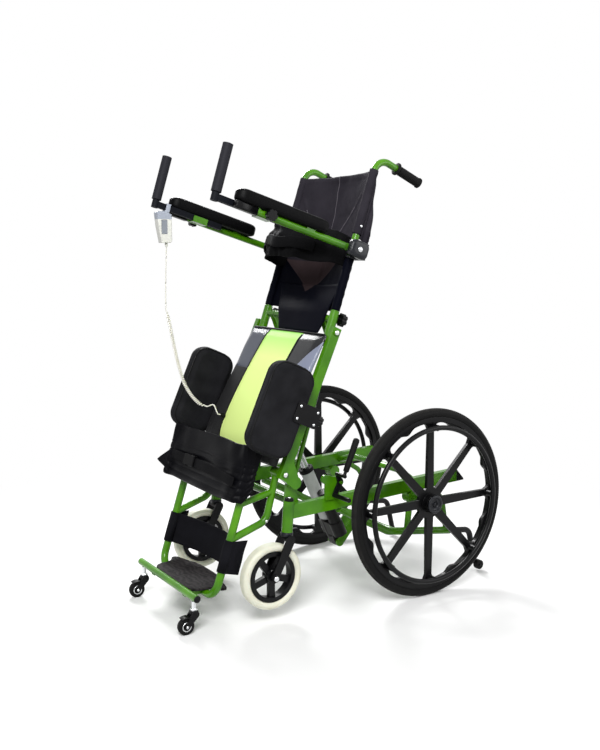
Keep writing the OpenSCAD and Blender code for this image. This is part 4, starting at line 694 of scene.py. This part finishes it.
panel = band(arc(sling_half, sling_sag, 0, 80), sling_low, sling_top, 0.003, 90, sling_shape)
sleeves = [sleeve(x, low, top) for x in (-back_x, back_x)
           for low, top in ((sling_low, 0.2335), (0.312, sling_top))]
tongue = []
for k in range(25):
    v = k / 24
    z, left, wide = -0.010 + 0.165 * v, -0.074 - 0.102 * v ** 1.2, 0.226 + 0.126 * v ** 0.9
    rise = max(0, min(1, (z - 0.05) / 0.105))
    rise = rise * rise * (3 - 2 * rise)
    line = []
    for x in (left + wide * m / 40 for m in range(41)):
        back = 0.0098 + sling_sag * (1 - (x / sling_half) ** 2)
        line.append((x, -0.0128 + rise * back + folds(x, z, 0.05, 0.003, 8.2) * v * (1 - v)))
    tongue.append([(x, d - 0.0014, z) for x, d in line] + [(x, d + 0.0014, z) for x, d in reversed(line)])
flaps = [band([(out * (back_x + 0.004 + 0.003 * math.sin(k)), 0.010 + 0.040 * k / 12) for k in range(13)],
              0.30, 0.505, 0.0028, 30,
              lambda t, v: (folds(t * 0.04, v * 0.2, 0.03, 0.004, 3.0) * t, -0.006 * t, -0.18 * t))
         for out in (1, -1)]
sling = make("back_sling_cloth", joined(panel, skin(tongue), *sleeves, *flaps), sling_cloth, "backrest",
             on_back)
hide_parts("back_sling")

# Chest belt. A broad doubled band of black cloth that closes across the sitter's chest; left open it hangs
# in a slack, crumpled bow between the arm blocks, with a strap sewn along its front.
belt_cloth = cloth("black_belt_cloth", "#060607", "#121214", "XZ")
belt_back = 0.0005
belt_path = arc(0.168, -0.150, belt_back, 150)


def chest_shape(t, v):
    """The belt's crumpled folds, and its edges that sag between the blocks."""
    x, free = 0.5 * t, 1 - abs(2 * t - 1) ** 4
    crease = folds(x, v * 0.07, 0.04, 0.010, 2.2) + folds(x * 1.6, v * 0.10, 0.03, 0.004, 5.0)
    crease += 0.003 * math.cos(v * math.pi * 5 + 6 * t)
    return crease * free, -0.016 * free + folds(x, 0, 0.07, 0.014, 7.0), folds(x, 0, 0.06, 0.010, 9.0) - 0.006


def chest_strap_shape(t, v):
    """The strap lies loose on the belt and wanders up and down it."""
    wander = folds(t * 0.5, 0, 0.1, 0.012, 6.6)
    return 0.004 + folds(t * 0.5, 0, 0.06, 0.004, 2.5), wander, wander


belt = make("chest_belt_cloth", band(belt_path, 0.212, 0.312, 0.006, 30, chest_shape), belt_cloth, "backrest",
            on_back)
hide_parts("chest_belt")
strap_path = [(x * 1.045, (y - belt_back) * 1.055) for x, y in belt_path[8:120]]
chest_strap = make("chest_belt_strap", band(strap_path, 0.222, 0.258, 0.0022, 10, chest_strap_shape),
                   belt_cloth, "backrest", on_back)

# Knee belt. A broad padded band in front of the shins that turns back along both sides, sewn across in rows,
# with a strap, its buckle and a loose pointed end. Short wraps hold it to the uprights.
on_leg = Matrix.Translation((0, -0.23625, 0.443)) @ Matrix.Rotation(math.radians(-17.815), 4, "X")
leg_fore = 0.09636
knee_cloth = cloth("black_quilted_cloth", "#030305", "#08080C", "XZ", 0.4, 0.06)
knee_route = ((-0.214, -0.160), (-0.185, -0.150), (-0.120, -0.143), (0.000, -0.139), (0.120, -0.136),
              (0.182, -0.131), (0.202, -0.119), (0.206, -0.100), (0.205, -0.083))
knee_path = [(p.x, p.y) for p in smooth_line([(x, y, 0) for x, y in knee_route], 16)]


def knee_shape(t, v):
    """Sewn rows over the lower two thirds, and edges that rise where the band turns back."""
    rows = 0.0032 * abs(math.sin(v * math.pi * 8)) ** 0.6 if v < 0.66 else 0.0012
    turned_back = max(0, (t - 0.82) / 0.18)
    sag = folds(t * 0.5, 0, 0.09, 0.006, 1.1) - 0.004 * math.sin(t * math.pi) ** 2
    return (rows + folds(t * 0.5, v * 0.1, 0.05, 0.009, 3.3), 0.034 * turned_back + sag,
            -0.008 * turned_back + folds(t * 0.5, 0, 0.08, 0.004, 6.2))


def knee_strap_shape(t, v):
    """The strap stands off the band in places and droops toward its end."""
    return 0.002 + 0.003 * math.sin(t * 9) ** 2, -0.016 * t * t, -0.016 * t * t


loops = [band([(x, y), (x * 1.01, -leg_fore - 0.030), (x * 1.02, -leg_fore), (x, -leg_fore + 0.016)],
              -0.036, 0.024, 0.003, 6, lambda t, v: (0, 0, 0))
         for x, y in ((-0.199, -0.150), (0.1985, -0.118))]
knee_band = band(knee_path, -0.112, 0.057, 0.0065, 64, knee_shape)
knee = make("knee_belt_cloth", joined(knee_band, *loops), knee_cloth, "legrest", on_leg)
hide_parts("knee_belt")
# the strap runs from the far side to the near corner, where its end droops
strap_path = [(x, y - 0.008) for x, y in knee_path[14:-46]]
knee_strap = make("knee_belt_strap", band(strap_path, -0.056, -0.028, 0.0024, 10, knee_strap_shape),
                  belt_cloth, "legrest", on_leg)
flap_t = 0.003
rings = []
for k in range(9):
    f = k / 8
    far, fore = -0.196 - 0.026 * f, -0.158 - 0.032 * f + 0.003 * math.sin(f * 5)
    low, high = -0.104 + 0.030 * f, -0.010 - 0.062 * f
    rings.append([(far, fore, low), (far, fore, high), (far - 0.001, fore + flap_t, high),
                  (far - 0.001, fore + flap_t, low)])
knee_flap = make("knee_belt_loose_end", skin(rings), knee_cloth, "legrest", on_leg, smooth=False)
# side-release buckle: two moulded acetal halves, the prongs snapped into the frame
buckle_x, buckle_up = -0.080, -0.043
i = min(range(1, len(strap_path) - 1), key=lambda k: abs(strap_path[k][0] - buckle_x))
before, after = [Vector((*strap_path[k], 0)) for k in (i - 1, i + 1)]
along, upright = (after - before).normalized(), Vector((0, 0, 1))
facing = Matrix((along, upright, along.cross(upright))).transposed().to_4x4()
outline = [(-0.030, 0.016), (-0.010, 0.019), (-0.006, 0.016), (0.004, 0.016), (0.010, 0.019), (0.032, 0.017)]
outline += [(x, -y) for x, y in reversed(outline)]
block = skin([[(x * k, y * k, h) for x, y in outline] for k, h in ((1, 0.000), (1, 0.009), (0.92, 0.0115))])
acetal, tree, shader, spot = finish("black_acetal", {
    "Base Color": linear("#050506"), "IOR": 1.48, "Specular IOR Level": 0.1})
scratch = add_node(tree, "TexNoise", {"Vector": spot, "Scale": 1 / 0.002, "Detail": 3.0})
plug(shader, {"Roughness": add_node(tree, "MapRange", {"Value": scratch, "To Min": 0.45, "To Max": 0.65})})
buckle = make("knee_buckle", block, acetal, "legrest",
              on_leg @ Matrix.Translation((*strap_path[i], buckle_up)) @ facing, smooth=False)

# Calf strap. A single band of black cloth behind the shins, hemmed, sewn round both uprights; its ends
# stand out behind them.
calf_cloth = cloth("black_strap_cloth", "#070709", "#131318", "XZ")
calf_low, calf_high, leg_x = -0.323, -0.227, 0.183


def calf_shape(t, v):
    """Soft folds between the uprights, and a hem along both edges."""
    hem = 0.0012 if min(v, 1 - v) < 0.1 else 0
    return folds(t * 0.4, v * 0.09, 0.07, 0.006, 6.1) * math.sin(t * math.pi) + hem, 0, 0


def wrap(x):
    """A flat sleeve round an upright."""
    profile = ((0.0124, calf_low), (0.0155, calf_low), (0.0158, (calf_low + calf_high) / 2),
               (0.0155, calf_high), (0.0124, calf_high))
    return round_skin([[(x + r * math.cos(a), -leg_fore + r * math.sin(a), z) for a in circle(36)]
                       for r, z in profile])


behind = [band([(x, -leg_fore + 0.006 + 0.045 * k / 12) for k in range(13)], calf_low, calf_high, 0.0032, 16,
               lambda t, v: (folds(t * 0.05, v * 0.1, 0.04, 0.005, 2.8) * t, 0.002 * t, 0.012 * t))
          for x in (leg_x + 0.011, -leg_x - 0.011)]
calf = make("calf_strap_cloth",
            joined(band(arc(leg_x, 0.072, -leg_fore, 100), calf_low, calf_high, 0.0035, 24, calf_shape),
                   wrap(-leg_x), wrap(leg_x), *behind), calf_cloth, "legrest", on_leg)
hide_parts("calf_panel")


# Drive tyres. Pneumatic black rubber on the moulded rims; the tread is a ring of fine cross ribs
# between two plain shoulders, and a raised bead runs along each side wall.
def lathe(profile, sides=32, hole=False):
    """A turned shape: radius and height pairs spun round z; with a hole, the last pair joins the first."""
    rings = [[(r * math.cos(a), r * math.sin(a), z) for a in circle(sides)] for r, z in profile]
    return round_skin(rings) if hole else skin(rings)


def placed(shape, where):
    """A shape moved to a place."""
    return [where @ p for p in shape[0]], shape[1]


def spin(centre, out):
    """A place whose z axis runs across the chair to its left (1) or right (-1)."""
    return Matrix.Translation(centre) @ Matrix.Rotation(math.radians(90 * out), 4, "Y")


# the tread is the same rubber, scuffed grey by the floor
dusty_tread, tree, shader, spot = finish("scuffed_tread_rubber", {
    "Roughness": 0.85, "IOR": 1.52, "Specular IOR Level": 0.1})
scuff = add_node(tree, "TexNoise", {"Vector": spot, "Scale": 1 / 0.02, "Detail": 5.0})
plug(shader, {"Base Color": add_node(tree, "ValToRGB", {"Fac": scuff}, ((0, "#131313"), (1, "#2C2B2A")))})
wheel_x, wheel_up, tyre_ring_r, tyre_section_r = 0.3154, 0.305, 0.288, 0.0168
tread_ribs, tyre_points, tread_from = 300, 28, 0.55
rings = []
for i, a in enumerate(circle(tread_ribs * 2)):
    ring = []
    for b in circle(tyre_points):
        groove = 0.0011 if math.cos(b) > tread_from and i % 2 else 0
        bead = 0.0008 if abs(math.cos(b) - 0.2) < 0.12 else 0
        r = tyre_section_r - groove + bead
        reach = tyre_ring_r + r * math.cos(b)
        ring.append((reach * math.cos(a), reach * math.sin(a), r * math.sin(b)))
    rings.append(ring)
for side, out in both_sides:
    tyre = make("rear_tyre_tread_" + side, round_skin(rings), black_rubber, "rear_wheel_" + side,
                spin((wheel_x * out, axle_y, wheel_up), out))
    tyre.data.materials.append(dusty_tread)
    for k, face in enumerate(tyre.data.polygons):
        across = math.cos(2 * math.pi * (k % tyre_points + 0.5) / tyre_points)
        face.material_index = int(across > tread_from)
    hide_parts("rear_tyre_" + side)

# Push grips. Soft ribbed rubber sleeves pressed on the ends of the back tubes, with a flange in front
# of the hand and a closed, flared end.
grip_from, grip_to, grip_r, flange_r, flange_t = 0.078, 0.182, 0.0148, 0.020, 0.006
rib_pitch, rib_h, ribs = 0.0062, 0.0014, 14
flange_to = grip_from + flange_t
profile = [(0.0112, grip_from), (flange_r - 0.001, grip_from), (flange_r, grip_from + 0.001),
           (flange_r, flange_to - 0.001), (flange_r - 0.001, flange_to), (grip_r - 0.0015, flange_to + 0.001)]
for z in (flange_to + 0.004 + k * rib_pitch for k in range(ribs)):
    profile += [(grip_r - rib_h, z), (grip_r, z + 0.0012), (grip_r, z + 0.0038), (grip_r - rib_h, z + 0.005)]
profile += [(grip_r, grip_to - 0.010), (grip_r + 0.0022, grip_to - 0.006), (grip_r + 0.0018, grip_to - 0.002),
            (grip_r - 0.003, grip_to), (0.001, grip_to + 0.0005)]
tilt = Matrix.Rotation(math.radians(-95), 4, "X")
grips = [placed(lathe(profile, 40), Matrix.Translation((x, 0, 0.562)) @ tilt) for x in (-back_x, back_x)]
handles = make("push_grip_rubber", joined(*grips), black_rubber, "backrest", on_back)
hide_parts("push_grips")

# Footplate. One moulded rubber mat on the leg frame's cross tube, its outline waved round the uprights and
# drawn out behind them; a leaf pattern about 1 mm high keeps the feet from slipping.
mat_rubber, tree, shader, spot = finish("grey_moulded_rubber", {
    "Roughness": 0.7, "IOR": 1.52, "Specular IOR Level": 0.1})
leaves = add_node(tree, "TexWave", {"Vector": spot, "Scale": wave_scale / 0.016, "Distortion": 9.0,
                                    "Detail": 2.0, "Detail Scale": 1.5}, bands_direction="Y").outputs["Fac"]
cloud = add_node(tree, "TexNoise", {"Vector": spot, "Scale": 1 / 0.03, "Detail": 4.0})
level = add_node(tree, "Math", {0: leaves, 1: 0.5, 2: cloud}, operation="MULTIPLY_ADD")
plug(shader, {
    "Base Color": add_node(tree, "ValToRGB", {"Fac": level}, ((0.35, "#0E0D0E"), (0.95, "#2E2B2C"))),
    "Normal": add_node(tree, "Bump", {"Height": leaves, "Strength": 0.5, "Distance": 0.0012})})
half = [(0.0, -0.5035), (0.070, -0.5035), (0.112, -0.500), (0.131, -0.490), (0.139, -0.472), (0.141, -0.452),
        (0.149, -0.436), (0.161, -0.427), (0.173, -0.420), (0.176, -0.411), (0.168, -0.402), (0.150, -0.397),
        (0.125, -0.391), (0.103, -0.386), (0.088, -0.378), (0.050, -0.374), (0.0, -0.373)]
outline = smooth_line([(x, y, 0) for x, y in half + [(-x, y) for x, y in half[-2:0:-1]] + half[:1]], 6)[:-1]
centre = Vector((0, -0.4391, 0))
mat_low, mat_top = 0.1043, 0.1116
rings = [[centre + (p - centre) * k + Vector((0, 0, z)) for p in outline]
         for k, z in ((0.2, mat_low), (0.985, mat_low), (1.0, mat_low + 0.0013), (1.0, mat_top - 0.0016),
                      (0.985, mat_top), (0.95, mat_top), (0.93, mat_top - 0.0008), (0.6, mat_top - 0.0008),
                      (0.2, mat_top - 0.0008))]
mat = make("footplate_mat", skin(rings), mat_rubber, "legrest")
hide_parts("footplate")

# Arm block housings. A moulded blue-black shell with well rounded corners snaps over the outer cheek of
# each hinge block; the hinge bolt's head shows through it.
hinge_up = 0.259


def housing_ring(inset, x):
    """The shell's outline drawn in by inset, at one place across."""
    y_half, z_half, corner = 0.0335 - inset, 0.0265 - inset, 0.017 - inset * 0.6
    return [(x, -0.0095 + u * (y_half - corner) + corner * math.cos(a),
             hinge_up + v * (z_half - corner) + corner * math.sin(a))
            for q, (u, v) in quarters for a in (math.pi / 2 * (q + k / 8) for k in range(9))]


shell = skin([housing_ring(inset, x) for inset, x in ((0.0, 0.2334), (0.0, 0.2452), (0.0009, 0.2482),
                                                      (0.0030, 0.2506), (0.0068, 0.2522), (0.0150, 0.2526))])
for side, out in both_sides:
    make("arm_block_shell_" + side, shell, blue_black, "backrest",
                 on_back @ Matrix.Scale(out, 4, (1, 0, 0)))


# Foot casters. Small furniture casters: a chromed stem in the bar, a black moulded hood with two cheeks, and
# a solid black tyre on a bright pressed hub.
def stadium(a, b, a_r, b_r):
    """An outline of (y, z) points round two circles."""
    turn = math.atan2(b[1] - a[1], b[0] - a[0])
    ends = ((a, a_r, turn + math.pi / 2), (b, b_r, turn - math.pi / 2))
    return [(c[0] + r * math.cos(start + math.pi * k / 10), c[1] + r * math.sin(start + math.pi * k / 10))
            for c, r, start in ends for k in range(11)]


zinc, tree, shader, spot = finish("bright_zinc_plate", {"Base Color": linear("#D8DADC"), "Metallic": 1.0})
marks = add_node(tree, "TexNoise", {"Vector": spot, "Scale": 1 / 0.003, "Detail": 3.0})
plug(shader, {"Roughness": add_node(tree, "MapRange", {"Value": marks, "To Min": 0.14, "To Max": 0.3})})
stem_x, stem_y, hub_y, hub_z, cheek_x = 0.178, -0.51525, -0.54225, 0.025, 0.0125
neck = lathe([(0.0100, 0.050), (0.0128, 0.053), (0.0132, 0.063), (0.0110, 0.0672)])
stem = joined(lathe([(0.0068, 0.0665), (0.0068, 0.0950)]),
              lathe([(0.0100, 0.0674), (0.0104, 0.0680), (0.0104, 0.0730), (0.0100, 0.0736)], 6))
rivet = lathe([(0.0042, 0), (0.0042, 0.0012), (0.0030, 0.0022), (0.0004, 0.0026)], 16)
wheel = lathe([(0.0138, -0.0088), (0.0215, -0.0090), (0.0242, -0.0072), (0.0250, -0.0030), (0.0250, 0.0030),
               (0.0242, 0.0072), (0.0215, 0.0090), (0.0138, 0.0088)], 48)
dish = lathe([(0.0005, -0.0070), (0.0090, -0.0072), (0.0125, -0.0092), (0.0142, -0.0092), (0.0142, 0.0092),
              (0.0125, 0.0092), (0.0090, 0.0072), (0.0005, 0.0070)], 48)
cheek = stadium((stem_y, 0.058), (hub_y, hub_z), 0.0115, 0.0075)
arch = ((-cheek_x, 0.0263), (cheek_x, 0.0263), (0.0118, 0.0292), (-0.0118, 0.0292))
for side, out in both_sides:
    x = stem_x * out
    cheeks = [skin([[(x + d, y, z) for y, z in cheek] for d in pair])
              for pair in ((-cheek_x, -0.0098), (0.0098, cheek_x))]
    roof = skin([[(x + d, hub_y - r * math.cos(a), hub_z + r * math.sin(a)) for d, r in arch]
                 for a in (math.radians(58 + 92 * k / 24) for k in range(25))])
    at_stem, at_hub = Matrix.Translation((x, stem_y, 0)), spin((x, hub_y, hub_z), 1)
    hood = make("foot_caster_hood_" + side, joined(roof, placed(neck, at_stem), *cheeks), black_nylon,
                "foot_fork_" + side, smooth=False)
    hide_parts("foot_caster_fork_" + side)
    axle = [placed(rivet, spin((x + d * cheek_x, hub_y, hub_z), d)) for d in (1, -1)]
    post = make("foot_caster_stem_" + side, joined(placed(stem, at_stem), *axle), zinc, "foot_fork_" + side,
                smooth=False)
    tread = make("foot_caster_tread_" + side, placed(wheel, at_hub), black_rubber, "foot_wheel_" + side)
    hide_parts("foot_caster_wheel_" + side)
    make("foot_caster_hub_" + side, placed(dish, at_hub), zinc, "foot_wheel_" + side)

# Bolts and plugs. Zinc-plated dome heads and rivets close the joints and hold the cloth, and black plugs
# close the foot bar's ends. One dome is turned for all of them and drawn out to each one's size.
dome = lathe([(1.0, 0), (1.0, 0.25), (0.86, 0.62), (0.5, 0.9), (0.02, 1.0)], 20)
caster_x, caster_y, caster_up = 0.226, -0.28365, 0.1395
clamp_spots = [(0.2698, y, z) for y in (-0.054, 0.010) for z in (0.166, 0.204)]
axle_end = (caster_x + 0.033, caster_y, caster_up)
for name, body, place, r, h, spots in (
        ("pivot_bolts", "seat", on_seat, 0.0078, 0.0045, [(0.236, 0, 0), (0.236, 0, 0.453)]),
        ("brace_bolts", "legrest", on_leg, 0.0050, 0.0030, [on_leg.inverted() @ at(194, 533, 299)]),
        ("arm_bolts", "backrest", on_back, 0.0085, 0.0040, [(0.2526, -0.011, hinge_up)]),
        ("sleeve_rivets", "backrest", on_back, 0.0042, 0.0022, [(0.2088, 0, 0.338)]),
        ("bar_plugs", "legrest", Matrix(), 0.0107, 0.0040, [(0.200, stem_y, 0.1065)]),
        ("clamp_bolts_%s", "thigh_%s", on_seat, 0.0044, 0.0028, clamp_spots),
        ("axle_bolts_%s", "caster_fork_%s", Matrix(), 0.0085, 0.0050, [axle_end])):
    for side, outs in (("l", (1,)), ("r", (-1,))) if "%s" in name else (("", (1, -1)),):
        heads = [placed(dome, place @ spin((out * x, y, z), out) @ Matrix.Diagonal((r, r, h, 1)))
                 for out in outs for x, y, z in spots]
        plain = name == "bar_plugs"
        piece = make(name.replace("%s", side), joined(*heads), black_nylon if plain else zinc,
                     body.replace("%s", side))

# Caster forks. A forged crown on a stem in the head tube and two slim arms to the axle, dipped in black
# nylon. A blue-black collar seals the head tube below, and a nut and a bolt close it above.
head_low, head_top = at(226, 481, 266), at(226, 474, 360)
lean = (head_top - head_low).to_track_quat("Z", "Y").to_matrix().to_4x4()
crown = head_low - (head_top - head_low).normalized() * 0.020
crown_half_l, crown_half_t, arm_from, arm_to = 0.0145, 0.0075, 0.021, 0.027
at_low, at_top = Matrix.Translation(head_low) @ lean, Matrix.Translation(head_top) @ lean
arm = stadium((crown.y, crown.z), (caster_y, caster_up), crown_half_l, 0.0125)
arms = [skin([[(caster_x + d, y, z) for y, z in arm] for d in pair])
        for pair in ((-arm_to, -arm_from), (arm_from, arm_to))]
bridge = skin([[(caster_x + d, crown.y + crown_half_l * math.cos(a), crown.z + crown_half_t * math.sin(a))
                for a in circle(24)] for d in (-0.026, 0.026)])
boss = lathe([(0.0115, 0), (0.0115, 0.0050), (0.0095, 0.0058)], 24)
bosses = [placed(boss, spin((caster_x + d * arm_to, caster_y, caster_up), d)) for d in (1, -1)]
nut = placed(lathe([(0.0140, 0.0004), (0.0140, 0.0075), (0.0120, 0.0090)], 24), at_top)
collar = placed(lathe([(0.0100, -0.0132), (0.0178, -0.0132), (0.0188, -0.0115), (0.0188, -0.0025),
                       (0.0178, -0.0005), (0.0100, -0.0005)]), at_low)
cap = placed(dome, at_top @ Matrix.Translation((0, 0, 0.009)) @ Matrix.Diagonal((0.0062, 0.0062, 0.0045, 1)))
for side, out in both_sides:
    mirror = Matrix.Scale(out, 4, (1, 0, 0))
    forging = placed(joined(*arms, bridge, *bosses, nut), mirror)
    fork = make("caster_fork_forging_" + side, forging, black_nylon, "caster_fork_" + side, smooth=False)
    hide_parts("caster_fork_" + side)
    seal = make("head_collar_" + side, placed(collar, mirror), blue_black, "caster_fork_" + side)
    make("head_bolt_" + side, placed(cap, mirror), zinc, "caster_fork_" + side)

# Sleeves and caps. Black mouldings pushed on after painting: a hand sleeve on each brake lever, a square
# sleeve on each arm tube's front end, a cap in each drive hub, and the wiper ring round the lift's rod.
lever_low, lever_top = Vector((0.283, -0.05725, 0.425)), Vector((0.283, -0.01425, 0.526))
lever_tilt = (lever_top - lever_low).to_track_quat("Z", "Y").to_matrix().to_4x4()
hand_sleeve = lathe([(0.0064, 0.014), (0.0088, 0.016), (0.0096, 0.034), (0.0094, 0.062), (0.0104, 0.112),
                     (0.0090, 0.119), (0.0030, 0.1215)], 24)
hub_cap = lathe([(0.0295, 0), (0.0295, 0.0012), (0.0275, 0.0026), (0.0225, 0.0026), (0.0205, 0.0004),
                 (0.0200, -0.0020), (0.0095, -0.0020), (0.0088, 0.0002), (0.0060, 0.0010), (0.0050, -0.0015),
                 (0.0005, -0.0015)], 40)
tube_x, tube_half = 0.222, 0.0121
square = [(signed_power(math.cos(a), 0.4) * tube_half, signed_power(math.sin(a), 0.4) * tube_half)
          for a in circle(40)]
arm_sleeve = skin([[(tube_x + k * u, -fore, k * v) for u, v in square]
                   for k, fore in ((1, 0.360), (1, 0.4285), (0.9, 0.4308))])
for side, out in both_sides:
    mirror = Matrix.Scale(out, 4, (1, 0, 0))
    on_lever = mirror @ Matrix.Translation(lever_low) @ lever_tilt
    in_hub = spin(((wheel_x + 0.0301) * out, axle_y, wheel_up), out)
    for name, shape, where, body, material, slot in (
            ("brake_sleeve_", hand_sleeve, on_lever, "brake_", black_rubber, "black_rubber"),
            ("arm_sleeve_", arm_sleeve, on_arm @ mirror, "arm_", black_nylon, "black_plastic"),
            ("hub_cap_", hub_cap, in_hub, "rear_wheel_", blue_black, "black_plastic")):
        make(name + side, placed(shape, where), material, body + side)
rod_end, rod_aim = Vector((0, -0.0951, 0.56924)), Vector((0, -0.42633, 0.90457))
lift_line = Matrix.Translation(rod_end) @ rod_aim.to_track_quat("Z", "Y").to_matrix().to_4x4()
wiper = lathe([(0.0136, -0.1972), (0.0235, -0.1972), (0.0249, -0.1985), (0.0249, -0.2100), (0.0243, -0.2106),
               (0.0242, -0.2030), (0.0136, -0.1978)], 40, hole=True)
make("lift_wiper", placed(wiper, lift_line), black_rubber, "actuator_barrel")
